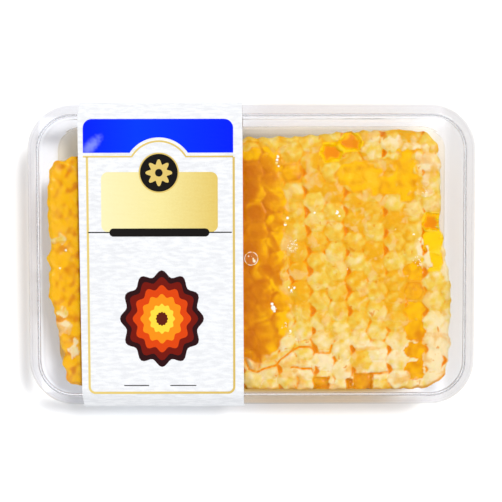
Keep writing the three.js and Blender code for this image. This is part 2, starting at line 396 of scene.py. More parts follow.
@dataclass(frozen=True)
class ClearSheetFinish:
    """Formed clear sheet with a faint waviness, and honey smeared on its near wall if it is filmed.

    Places across the sheet are counted from the flange's inner edge, positive outwards.
    """

    name: str
    ior: float = 1.19
    panel_ior: float = 1.08
    filmed: bool = False
    roughness: float = 0.03
    wave: float = 9.0
    wave_height: float = 0.05
    # The slight blue in this tint is painted cool light that cancels the warm light bounced off the comb.
    tint: tuple = srgb(251, 252, 255)
    # Greyer tint of the flange: painted shade.
    flange_painted_shade_tint: tuple = srgb(243, 243, 245)
    # Greyer tint of the sheet's right end, from painted_shade_end_x on: painted shade.
    painted_shade_end_tint: tuple = srgb(238, 238, 239)
    film_tint: tuple = srgb(255, 212, 116)
    shade: tuple = srgb(255, 255, 255)
    edge_shade: tuple = srgb(206, 206, 208)
    flange: tuple = (56.5, 36.85)
    flange_blend: tuple = (-0.5, 0.5)
    panel_blend: tuple = (-6.5, -6.0)
    painted_shade_end_x: tuple = (50.0, 53.0)
    film_wall: tuple = (-4.0, -3.0)
    film_lip: tuple = (-0.4, 0.8)
    film_lip_share: float = 0.35
    film_ends: tuple = (-30.0, -9.0)
    film_near: tuple = (-36.0, 0.0)

    def build(self) -> Material:
        """Returns the material."""
        kit = ShaderKit(self.name)
        normal = kit.bump(kit.noise(self.wave, 1.0), self.wave_height)
        along = kit.axes()
        out_x, out_y = (kit.math("SUBTRACT", kit.math("ABSOLUTE", along[axis]), edge * MM)
                        for axis, edge in zip("XY", self.flange))
        out = kit.math("MAXIMUM", out_x, out_y)
        flange = kit.reach(out, self.flange_blend)
        # The flange is mixed to a greyer tint: painted shade.
        tint = kit.mix(flange, self.tint, self.flange_painted_shade_tint)
        # The right end of the sheet is mixed to a greyer tint: painted shade.
        tint = kit.mix(kit.reach(along["X"], self.painted_shade_end_x), tint, self.painted_shade_end_tint)
        if self.filmed:
            film = kit.math("MULTIPLY", kit.reach(out_y, self.film_wall),
                            kit.reach(out_x, self.film_ends, 1.0, 0.0),
                            kit.reach(along["Y"], self.film_near, 1.0, 0.0),
                            kit.reach(out_y, self.film_lip, 1.0, self.film_lip_share))
            tint = kit.mix(film, tint, self.film_tint)
        panel, rest = (kit.principled(base_color=tint, roughness=self.roughness, ior=ior,
                                      transmission_weight=1.0, normal=normal).outputs[0]
                       for ior in (self.panel_ior, self.ior))
        glass = kit.node("MixShader", {0: kit.reach(out, self.panel_blend), 1: panel, 2: rest})
        return kit.finish_clear(glass, kit.mix(flange, self.shade, self.edge_shade))


class Blotch(NamedTuple):
    """Patches of one colour: their noise, the heights between which they come up, and their share."""

    colour: tuple
    grain: float
    detail: float
    distortion: float
    low: float
    high: float
    share: float


@dataclass(frozen=True)
class WaxFinish:
    """Wax caps over honey: pale caps, amber seams, soaked patches, glossy cut cells and painted glow."""

    caps: tuple = ((0.0, srgb(231, 166, 14)), (0.45, srgb(231, 194, 76)), (1.0, srgb(238, 215, 164)))
    honey: tuple = ((0.0, srgb(246, 184, 0)), (0.5, srgb(221, 135, 0)), (1.0, srgb(205, 112, 0)))
    blotches: tuple = (Blotch(srgb(230, 162, 10), 4.5, 4.0, 0.4, 0.50, 0.66, 0.65),
                       Blotch(srgb(238, 215, 164), 3.6, 5.0, 0.5, 0.50, 0.62, 0.30),
                       Blotch(srgb(224, 138, 4), 1.9, 3.0, 0.6, 0.66, 0.71, 0.80))
    seam: tuple = srgb(240, 152, 0)
    deep_seam: tuple = srgb(230, 130, 0)
    # Colour of honey painted bright as if light shone through it: painted light.
    painted_glow_honey: tuple = srgb(250, 202, 0)
    wet_gloss: float = 0.16
    dry_gloss: float = 0.45
    glow_radius: tuple = (1.0, 0.45, 0.12)
    glow_scale: float = 1.6

    def build(self) -> Material:
        """Returns the material."""
        kit = ShaderKit("comb_wax")
        fine, broad = kit.noise(0.9, 4.0), kit.noise(5.0, 3.0)
        edge = kit.math("ADD", kit.attribute("cap"), kit.swing(fine, 0.55))
        wax = kit.span(edge, -0.12, 0.50)
        soak = kit.attribute("soak")
        tone = kit.math("ADD", kit.attribute("tone"), kit.swing(broad, 0.9),
                        kit.swing(kit.noise(1.8, 4.0), 0.75))
        cap = kit.ramp(tone, *self.caps)
        for blotch in self.blotches:
            lumps = kit.noise(blotch.grain, blotch.detail, distortion=blotch.distortion)
            cap = kit.mix(kit.span(lumps, blotch.low, blotch.high, 0.0, blotch.share), cap, blotch.colour)
        grains = kit.noise(1.5, 3.0, distortion=0.5)
        mottle = kit.math("ADD", kit.attribute("depth"), kit.swing(broad, 1.1), kit.swing(grains, 0.7))
        seam = kit.mix(kit.span(edge, -0.35, 0.10), self.deep_seam, self.seam)
        seam = kit.mix(soak, seam, kit.ramp(mottle, *self.honey))
        dry = kit.math("MULTIPLY", wax, kit.math("SUBTRACT", 1.0, soak))
        # painted_glow mixes in a bright honey colour where light would shine through: painted light.
        colour = kit.mix(kit.attribute("painted_glow"), kit.mix(dry, seam, cap), self.painted_glow_honey)
        wrinkle = kit.bump(kit.math("MULTIPLY", fine, wax), 0.10)
        gloss = kit.span(dry, 0.0, 1.0, self.wet_gloss, self.dry_gloss)
        return kit.finish(kit.principled(
            base_color=colour, roughness=gloss, ior=1.45, specular_ior_level=0.2, normal=wrinkle,
            subsurface_weight=0.35, subsurface_radius=self.glow_radius,
            subsurface_scale=self.glow_scale * MM))


@dataclass(frozen=True)
class BubbleFinish:
    """Clear skin of syrup round air."""

    tint: tuple = srgb(255, 250, 236)
    shade: tuple = srgb(255, 252, 240)

    def build(self) -> Material:
        """Returns the material."""
        kit = ShaderKit("clear_drop")
        syrup = kit.principled(base_color=self.tint, roughness=0.02, ior=1.48, transmission_weight=1.0,
                               normal=kit.bump(kit.noise(4.0, 1.0), 0.12))
        return kit.finish_clear(syrup, self.shade)


@dataclass(frozen=True)
class PaintedHighlightFinish:
    """Small glossy beads, painted pale in patches: painted highlights."""

    # Pale colour of the painted highlights.
    pale: tuple = srgb(255, 250, 232)
    amber: tuple = srgb(252, 200, 60)

    def build(self) -> Material:
        """Returns the material."""
        kit = ShaderKit("painted_highlight")
        colour = kit.mix(kit.span(kit.noise(0.8, 1.0), 0.40, 0.52), self.amber, self.pale)
        return kit.finish(kit.principled(base_color=colour, roughness=0.06, ior=1.45, coat_weight=1.0))


@dataclass(frozen=True)
class CrumbFinish:
    """White crumbs of dry wax."""

    white: tuple = srgb(255, 240, 204)

    def build(self) -> Material:
        """Returns the material."""
        kit = ShaderKit("dry_wax")
        return kit.finish(kit.principled(base_color=self.white, roughness=0.5))


@dataclass(frozen=True)
class PoolFinish:
    """Thin honey on the tray's floor: nearly clear, and golden towards the sleeve's end."""

    clear: tuple = srgb(255, 249, 236)
    golden: tuple = srgb(254, 204, 112)
    shade: tuple = srgb(255, 253, 246)
    lean: tuple = (-4.0, -14.0)

    def build(self) -> Material:
        """Returns the material."""
        kit = ShaderKit("honey_pool")
        along = kit.axes()
        parts = (kit.math("MULTIPLY", along[axis], gain) for axis, gain in zip("XY", self.lean))
        share = kit.span(kit.math("ADD", *parts, kit.noise(14.0, 2.0)), 0.35, 1.0)
        syrup = kit.principled(base_color=kit.mix(share, self.clear, self.golden), roughness=0.02, ior=1.03,
                               transmission_weight=1.0)
        return kit.finish_clear(syrup, self.shade)


@dataclass(frozen=True)
class PaperFinish:
    """Laid paper: matt, near white, with fine ridges along the pack and painted shade in their hollows."""

    white: tuple = srgb(236, 235, 234)
    # Grey of the ridges' hollows: painted shade.
    painted_shade_grey: tuple = srgb(223, 222, 222)
    ridges: float = 0.75
    felt: float = 0.25

    def build(self) -> Material:
        """Returns the material."""
        kit = ShaderKit("sleeve_paper")
        height = kit.math("ADD", kit.math("MULTIPLY", kit.noise(0.8, 2.0, kit.stretch(0.30)), self.ridges),
                          kit.math("MULTIPLY", kit.noise(0.35, 2.0), self.felt))
        # The paper is painted grey where the ridges dip: painted shade.
        colour = kit.mix(kit.span(height, 0.35, 0.65), self.painted_shade_grey, self.white)
        return kit.finish(kit.principled(base_color=colour, roughness=0.82, specular_ior_level=0.2,
                                         normal=kit.bump(height, 0.24)))


@dataclass(frozen=True)
class InkFinish:
    """Print on the paper: a ramp of colour along the pack, with the paper's ridges in it.

    A painted glare is a pale slanting smear of painted reflected light round a place, with its width and
    length as shares of its reach.
    """

    name: str
    stops: tuple
    roughness: float = 0.5
    metallic: float = 0.0
    grain: float = 0.0
    # The pale smear and its shape: a painted reflection.
    painted_glare: Optional[tuple] = None
    painted_glare_colour: tuple = srgb(196, 212, 255)
    painted_glare_shape: tuple = (1.9, 0.8)
    painted_glare_reach: tuple = (1.6, 7.0)
    painted_glare_rough: float = 3.0
    painted_glare_share: float = 0.34

    def build(self) -> Material:
        """Returns the material."""
        kit = ShaderKit(self.name)
        along = kit.axes()
        low, high = self.stops[0][0], self.stops[-1][0]
        feeds = {"Value": along["X"], "From Min": low * MM, "From Max": high * MM}
        share = kit.node("MapRange", feeds).outputs[0]
        places = [((where - low) / (high - low), colour) for where, colour in self.stops]
        colour = kit.ramp(kit.math("ADD", share, kit.swing(kit.noise(0.5, 3.0), self.grain)), *places)
        if self.painted_glare:
            right, up = (kit.math("SUBTRACT", along[axis], middle * MM)
                         for axis, middle in zip("XY", self.painted_glare))
            arms = (kit.math("MULTIPLY", kit.math(operation, right, up), gain)
                    for operation, gain in zip(("SUBTRACT", "ADD"), self.painted_glare_shape))
            away = kit.math("SQRT", kit.math("ADD", *(kit.math("MULTIPLY", arm, arm) for arm in arms)))
            away = kit.math("ADD", away, kit.math("MULTIPLY", kit.noise(0.9, 5.0), self.painted_glare_rough * MM))
            # The ink is mixed pale round the given place: a painted reflection.
            painted_glare_mask = kit.reach(away, self.painted_glare_reach, self.painted_glare_share, 0.0)
            colour = kit.mix(painted_glare_mask, colour, self.painted_glare_colour)
        ridges = kit.noise(0.8, 3.0, kit.stretch(0.16))
        return kit.finish(kit.principled(base_color=colour, roughness=self.roughness, metallic=self.metallic,
                                         specular_ior_level=0.08, normal=kit.bump(ridges, 0.12)))


# ---- clear box ----------------------------------------------------------------------------------
@dataclass(frozen=True)
class ClearBox:
    """Clear tray and lid, with the inset of each line of their section from the flange's edge."""

    length: float = (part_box("tray")[1].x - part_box("tray")[0].x) / MM
    width: float = (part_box("tray")[1].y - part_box("tray")[0].y) / MM
    foot_z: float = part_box("tray")[0].z / MM
    rim_z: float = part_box("tray")[1].z / MM
    lid_z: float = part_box("lid")[0].z / MM
    top_z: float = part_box("lid")[1].z / MM
    sheet: float = 0.5
    corner: float = 12.0
    least_corner: float = 4.0
    corner_steps: int = 12
    round_steps: int = 6
    hard_angle: float = 32.0
    wall_top: tuple = (3.3, 25.2)
    wall_foot: tuple = (5.3, 2.2)
    panel_z: float = 1.6
    panel_drop: float = 0.5

    def ring(self, inset: float, z: float) -> Array:
        """Returns the rounded rectangle that lies an inset inside the flange's edge, at a height."""
        radius = max(self.corner - inset, self.least_corner)
        half_x = self.length / 2 - inset - radius
        half_y = self.width / 2 - inset - radius
        points = []
        for turn, (side_x, side_y) in enumerate(((1, 1), (-1, 1), (-1, -1), (1, -1))):
            points += arc(side_x * half_x, side_y * half_y, radius, turn, turn + 1, self.corner_steps)
        return np.array([(*point, z) for point in points])

    def inner_inset(self, z: Array) -> Array:
        """Returns the inset of the tray's inner face at a height."""
        share = (z - self.wall_foot[1]) / (self.wall_top[1] - self.wall_foot[1])
        return self.wall_foot[0] + self.sheet + share * (self.wall_top[0] - self.wall_foot[0])

    def hold_inside(self, points: Array, clear: float) -> Array:
        """Moves points that lie outside the tray's inner face back to it.

        Args:
            points: Rows of x, y, z in millimetres.
            clear: Air kept to the face.

        Returns:
            The points, moved where needed.
        """
        held = points.copy()
        inset = self.inner_inset(np.clip(points[:, 2], self.wall_foot[1], self.wall_top[1])) + clear
        radius = np.maximum(self.corner - inset, self.least_corner)
        half = np.stack([self.length / 2 - inset - radius, self.width / 2 - inset - radius], axis=1)
        out = np.maximum(np.abs(points[:, :2]) - half, 0.0)
        reach = np.hypot(out[:, 0], out[:, 1])
        shrink = np.where(reach > radius, radius / np.maximum(reach, 1e-6), 1.0)
        moved = np.where(out > 0, half + out * shrink[:, None], np.abs(points[:, :2]))
        held[:, :2] = np.sign(points[:, :2]) * moved
        return held

    def tray_line(self) -> list:
        """Returns the tray's outer line: a foot ring, a leaning wall and a flange with a lip."""
        foot, under = self.foot_z, self.rim_z - self.sheet
        return [(11.9, self.panel_z, 0.0), (11.2, self.panel_z, 0.5), (10.4, foot, 0.7), (7.2, foot, 0.9),
                (*self.wall_foot, 2.2), (self.wall_top[0], under, 1.5), (0.5, under, 0.35),
                (0.5, under - 0.8, 0.0)]

    def lid_line(self) -> list:
        """Returns the lid's under line: a panel, a stacking rim, a riser and a flange."""
        seat, under = self.lid_z, self.top_z - self.sheet
        panel = under - self.panel_drop
        return [(9.5, panel, 0.0), (7.6, panel, 0.8), (6.5, under, 0.8), (3.1, under, 2.1), (2.9, seat, 1.0),
                (0.0, seat, 0.0)]

    def sheet_along(self, name: str, line: Sequence[tuple]) -> Object:
        """Makes a shell of even thickness round the box.

        Args:
            name: Name of the piece.
            line: Corners of its outer or under side from the middle outwards, each an inset, a height
                and the reach of its round.

        Returns:
            The piece.
        """
        run = []
        for index, (inset, z, reach) in enumerate(line):
            corner = np.array((inset, z), dtype=float)
            if index in (0, len(line) - 1):
                run.append(corner)
                continue
            arms = [np.array(line[index + step][:2], dtype=float) - corner for step in (-1, 1)]
            start, end = (corner + arm * min(reach / np.linalg.norm(arm), 0.48) for arm in arms)
            run += bend(start, corner, end, self.round_steps)
        run = np.array(run)
        ahead = np.gradient(run, axis=0)
        ahead /= np.linalg.norm(ahead, axis=1)[:, None]
        back = run + self.sheet * np.column_stack([ahead[:, 1], -ahead[:, 0]])
        shell = loft(name, [self.ring(inset, z) for inset, z in (*run, *back[::-1])])
        return smooth_faces(shell, self.hard_angle)

    def build(self) -> None:
        """Builds and dresses both shells."""
        tray = ClearSheetFinish("clear_tray", ior=1.02, panel_ior=1.02, filmed=True)
        lid = ClearSheetFinish("clear_lid")
        dress(self.sheet_along("tray_shell", self.tray_line()), tray.build(), Slot.SHEET, "tray")
        dress(self.sheet_along("lid_shell", self.lid_line()), lid.build(), Slot.SHEET, "lid")


# ---- comb ---------------------------------------------------------------------------------------
class Luck(IntEnum):
    """What a cell's repeatable number is drawn for. The under layer's places use numbers 10 higher."""

    PLACE_X = 1
    PLACE_Y = 2
    RISE = 3
    SEAM = 5
    SIZE = 6
    LEAN_X = 7
    LEAN_Y = 8
    TONE = 9
    UNDER = 10
    FILL = 12
    HOLE = 14
    HOLE_REACH = 15
    HOLE_PLACE = 16


@dataclass(frozen=True)
class CombLattice:
    """The cells: columns run along Y, lean a little and spread towards +Y."""

    pitch: float = 5.28
    column: float = 4.96
    spread: float = 0.27
    lean: float = 0.93
    jitter: float = 0.34
    first_x: float = 43.74
    first_y: float = -30.68
    lean_from: float = -24.98
    lean_over: float = 38.5
    hole_reach: float = 1.75
    around: tuple = ((1, 0), (0, 1), (-1, 1), (-1, 0), (0, -1), (1, -1))

    def chance(self, column: Array, row: Array, purpose: int) -> Array:
        """Returns a repeatable number from 0 to 1 for cells and a purpose."""
        wild = np.sin(column * 127.1 + row * 311.7 + purpose * 74.7) * 43758.5453
        return wild - np.floor(wild)

    def columns(self, y: Array, under: bool) -> tuple[Array, Array]:
        """Returns the x of the first column at each y, and how far apart the columns lie there."""
        t = (y - self.lean_from) / self.lean_over
        shift = self.pitch / math.sqrt(3) if under else 0.0
        return self.first_x - self.lean * t - shift, self.column + self.spread * t

    def centre(self, column: Array, row: Array, under: bool) -> tuple[Array, Array]:
        """Returns the x and y of cells' centres, in the upper or the under layer."""
        more = Luck.UNDER if under else 0
        y = self.first_y + self.pitch * (row + column / 2)
        first, apart = self.columns(y, under)
        return (first + column * apart + self.jitter * (self.chance(column, row, Luck.PLACE_X + more) - 0.5),
                y + self.jitter * (self.chance(column, row, Luck.PLACE_Y + more) - 0.5))

    def nearest(self, x: Array, y: Array, under: bool) -> tuple[Array, Array]:
        """Returns the column and row of the cell that each place lies in."""
        first, apart = self.columns(y, under)
        guess = np.round((x - first) / apart)
        best = np.full(x.shape, np.inf)
        column, row = np.zeros_like(x), np.zeros_like(x)
        for step in (-1, 0, 1):
            tried = guess + step
            middle = np.round((y - self.first_y) / self.pitch - tried / 2)
            for up in (-1, 0, 1):
                cx, cy = self.centre(tried, middle + up, under)
                gap = np.hypot(x - cx, y - cy)
                closer = gap < best
                best = np.where(closer, gap, best)
                column = np.where(closer, tried, column)
                row = np.where(closer, middle + up, row)
        return column, row

    def borders(self, x: Array, y: Array, column: Array, row: Array, under: bool) -> Array:
        """Returns each place's distance to its cell's six borders, one column for each."""
        cx, cy = self.centre(column, row, under)
        sides = []
        for step_column, step_row in self.around:
            nx, ny = self.centre(column + step_column, row + step_row, under)
            run_x, run_y = nx - cx, ny - cy
            length = np.hypot(run_x, run_y)
            sides.append((run_x * ((cx + nx) / 2 - x) + run_y * ((cy + ny) / 2 - y)) / length)
        return np.stack(sides, axis=1)

    def corner_hole(self, x: Array, y: Array, column: Array, row: Array, under: bool) -> Array:
        """Returns how far the wax is open round each place's nearest right-hand cell corner."""
        opened = np.zeros_like(x)
        for step_column, step_row in ((0, 0), (-1, 0), (-1, 1)):
            a, b = column + step_column, row + step_row
            around = [self.centre(a + right, b - down, under) for right, down in ((0, 0), (1, 0), (1, 1))]
            cx, cy = (sum(place[axis] for place in around) / 3 for axis in (0, 1))
            strength = ease(self.chance(a, b, Luck.HOLE) + 0.3 * np.cos(math.pi * a), 0.0, 0.9)
            reach = self.hole_reach * (0.7 + 0.6 * self.chance(a, b, Luck.HOLE_REACH))
            up = 0.9 * (self.chance(a, b, Luck.HOLE_PLACE) - 0.35)
            away = np.hypot(x - cx + 0.25, y - cy - up) / reach
            opened = np.maximum(opened, strength * np.exp(-away ** 2))
        return opened


@dataclass(frozen=True)
class SlabOutline:
    """Outline of the cut slab, anticlockwise, and how it narrows downwards."""

    points: tuple = (
        (-2, 31.2), (-23.8, 29), (-47.1, 26.3), (-52.8, 23.9), (-54.3, 17.8), (-53.5, 4.8), (-54, -7.3),
        (-51.8, -17.9), (-50.3, -28.6), (-46.9, -34.6), (-23.8, -35.3), (-2, -35.9), (19.8, -36.2),
        (39.6, -36.1), (49.7, -34.2), (52.6, -27.7), (53.1, -17.1), (52.8, -6.5), (50.7, 6.4),
        (50.3, 14.8), (49.9, 27.1), (47.1, 32), (39.7, 33.3), (25, 32.9), (13.2, 31.7),
    )
    near_left: int = 9
    near_right: int = 14
    far_right: int = 21
    far_left: int = 3
    span_steps: int = 14
    test_step: int = 4
    taper_z: tuple = (0.8, 15.6, 31.9)
    taper: tuple = (0.965, 0.99, 1.0)

    def scale(self, z: Array) -> Array:
        """Returns the size of the outline at a height."""
        return np.interp(z, self.taper_z, self.taper)

    def curve(self) -> Array:
        """Returns the outline as a smooth closed run of points."""
        corners = np.array(self.points, dtype=float)
        a, b, c, d = (np.roll(corners, -step, axis=0)[:, None] for step in (-1, 0, 1, 2))
        t = (np.arange(self.span_steps) / self.span_steps)[None, :, None]
        square, cube = 2 * a - 5 * b + 4 * c - d, 3 * b - a - 3 * c + d
        run = 0.5 * (2 * b + (c - a) * t + square * t ** 2 + cube * t ** 3)
        return run.reshape(-1, 2)

    def side(self, start: int, end: int, shares: Array) -> Array:
        """Returns points at even shares of the way along the curve between two corners."""
        curve = self.curve()
        count = len(curve)
        first = start * self.span_steps
        steps = (end * self.span_steps - first) % count
        run = curve[(first + np.arange(steps + 1)) % count]
        lengths = np.concatenate([[0.0], np.cumsum(np.hypot(*np.diff(run, axis=0).T))])
        lengths /= lengths[-1]
        return np.stack([np.interp(shares, lengths, run[:, axis]) for axis in (0, 1)], axis=1)

    def spread(self, u: Array, v: Array) -> Array:
        """Returns the places inside the outline for shares u along X and v along Y."""
        near = self.side(self.near_left, self.near_right, u)
        right = self.side(self.near_right, self.far_right, v)
        far = self.side(self.far_right, self.far_left, 1.0 - u)
        left = self.side(self.far_left, self.near_left, 1.0 - v)
        corners = self.curve()[np.array((self.near_left, self.near_right, self.far_right, self.far_left))
                               * self.span_steps]
        u, v = u[:, None], v[:, None]
        rows = (1 - v) * near + v * far
        columns = (1 - u) * left + u * right
        square = ((1 - u) * (1 - v) * corners[0] + u * (1 - v) * corners[1]
                  + u * v * corners[2] + (1 - u) * v * corners[3])
        return rows + columns - square

    def distance(self, x: Array, y: Array, z: float) -> Array:
        """Returns each place's distance to the outline at a height, positive outside."""
        loop = self.curve()[::self.test_step] * self.scale(z)
        crossings = np.zeros(x.shape, dtype=bool)
        for (ax, ay), (bx, by) in zip(loop, np.roll(loop, -1, axis=0)):
            if ay != by:
                crossings ^= ((ay > y) != (by > y)) & (x < (bx - ax) * (y - ay) / (by - ay) + ax)
        nearest = lines_distance(x, y, [[*loop, loop[0]]])
        return np.where(crossings, -nearest, nearest)


@dataclass(frozen=True)
class SlabFace:
    """What the slab's upper face shows: its open cells, wet patches, cracks and torn spots.

    Cells are given by column and row, patches by middle and half sizes, windows by their four sides.
    """

    open_cells: tuple = ((1, 7), (-4, 13), (-3, 13))
    full_cells: tuple = ((0, 0), (0, 1), (0, 2), (0, 3), (0, 5), (1, 5), (1, 6))
    # Cells painted bright as if light shone through them: painted light.
    painted_glow_cells: tuple = ((1, 5), (1, 6))
    honey_cells: tuple = ((-6, 13), (0, 4))
    crack_half: float = 0.16
    cracks: tuple = (
        ((-1.9, -27.9), (-0.6, -30.6), (1.4, -31.3), (3.4, -30.3), (6.4, -29.5), (7.7, -27.9),
         (11.1, -25.3), (12.7, -24.5), (15.4, -24.5), (17.8, -26.1), (20.9, -26.1), (21.4, -24)),
        ((10.6, -30), (11.4, -29.8), (13.3, -30.3), (15.9, -30.3), (17, -32.2)),
        ((31.7, -31.6), (34, -31.7), (36.3, -31.3)),
    )
    windows: tuple = ((16.6, 20.6, -36, -32.6), (25.3, 26.9, -36, -33.1), (27.2, 32.3, -36, -31.6))
    window_edge: Ripple = Ripple(0.15, 1.6, 9)
    spills: tuple = ((28.3, 21.2, 6.2, 3.8), (41, 20.8, 3.4, 6), (35, 18.8, 4.6, 2.6), (41.4, 28.6, 3.6, 1.6))
    spill_edge: Ripple = Ripple(0.14, 3.0, 5)
    spill_rim: tuple = (0.92, 1.08)
    flakes: tuple = (
        (-51.2, 4.4, 2.0, 1.2), (-50.4, -14.9, 1.5, 1.4), (-50.0, -19.2, 2.2, 1.9), (-47.6, -25.2, 1.2, 2.6),
        (46.0, 16.7, 2.6, 1.1), (33.5, 28.8, 5.6, 3.2), (45.8, 24.5, 2.2, 5.0), (39.5, 29.6, 5.0, 2.0),
        (46.4, -1.8, 1.4, 3.8), (45.0, 2.6, 0.9, 2.4),
    )
    flake_edge: Ripple = Ripple(0.30, 2.2, 7)
    flake_rim: tuple = (0.90, 1.06)
    soak_y: tuple = (-36, -33, -29, -25, -21, -17, -10, 0, 10, 18, 22, 26, 29, 32)
    soak_x: tuple = (5, 3.6, 3.4, 6.4, 9.4, 9.8, 8.8, 8.2, 8.2, 8.5, 8, 7, 5, 2)
    soak_edge: tuple = (Ripple(0.7, 5.0, 3), Ripple(0.5, 2.0, 4))
    soak_far: float = 28.6
    soak_far_edge: Ripple = Ripple(0.7, 3.5, 6)
    soak_near: tuple = (27.4, 28.8)
    soak_near_edge: Ripple = Ripple(0.8, 5.0, 74)
    strip_x: float = -44.0
    strip_soak: float = 0.92

    def listed(self, column: Array, row: Array, cells: tuple) -> Array:
        """Returns 1 where a cell is in a list, and 0 elsewhere."""
        found = np.zeros(column.shape, dtype=bool)
        for wanted_column, wanted_row in cells:
            found |= (column == wanted_column) & (row == wanted_row)
        return found.astype(float)

    def strip(self, x: Array) -> Array:
        """Returns how far a place lies in the strip beyond the sleeve, from 0 to 1."""
        return ease(self.strip_x - 0.5 - x, 0.0, 1.0)

    def soaked(self, x: Array, y: Array) -> Array:
        """Returns how far honey stands over the wax, from 0 to 1, by the sleeve and beyond it."""
        edge = np.interp(y, self.soak_y, self.soak_x) + rolling(x, y, *self.soak_edge)
        far = self.soak_far + rolling(x, y, self.soak_far_edge)
        by_sleeve = ease(edge - x, -0.7, 0.5) * ease(far - y, -0.5, 0.5)
        near = ease(rolling(x, y, self.soak_near_edge) - y, *self.soak_near) * (x > self.strip_x)
        return blend(by_sleeve, self.strip_soak, self.strip(x)) * (1.0 - near)

    def patches(self, x: Array, y: Array, ovals: tuple, edge: Ripple, rim: tuple) -> Array:
        """Returns how far a place lies in one of some ragged ovals, from 0 to 1."""
        inside = np.zeros_like(x)
        for cx, cy, half_x, half_y in ovals:
            reach = np.hypot((x - cx) / half_x, (y - cy) / half_y) + rolling(x, y, edge)
            inside = np.maximum(inside, 1.0 - ease(reach, *rim))
        return inside

    def window(self, x: Array, y: Array) -> Array:
        """Returns how deep a place lies in a torn spot at the near edge, negative outside."""
        depth = np.full(x.shape, -9.0)
        for low_x, high_x, low_y, high_y in self.windows:
            sides = np.stack([x - low_x, high_x - x, y - low_y, high_y - y])
            depth = np.maximum(depth, sides.min(axis=0) + rolling(x, y, self.window_edge))
        return depth


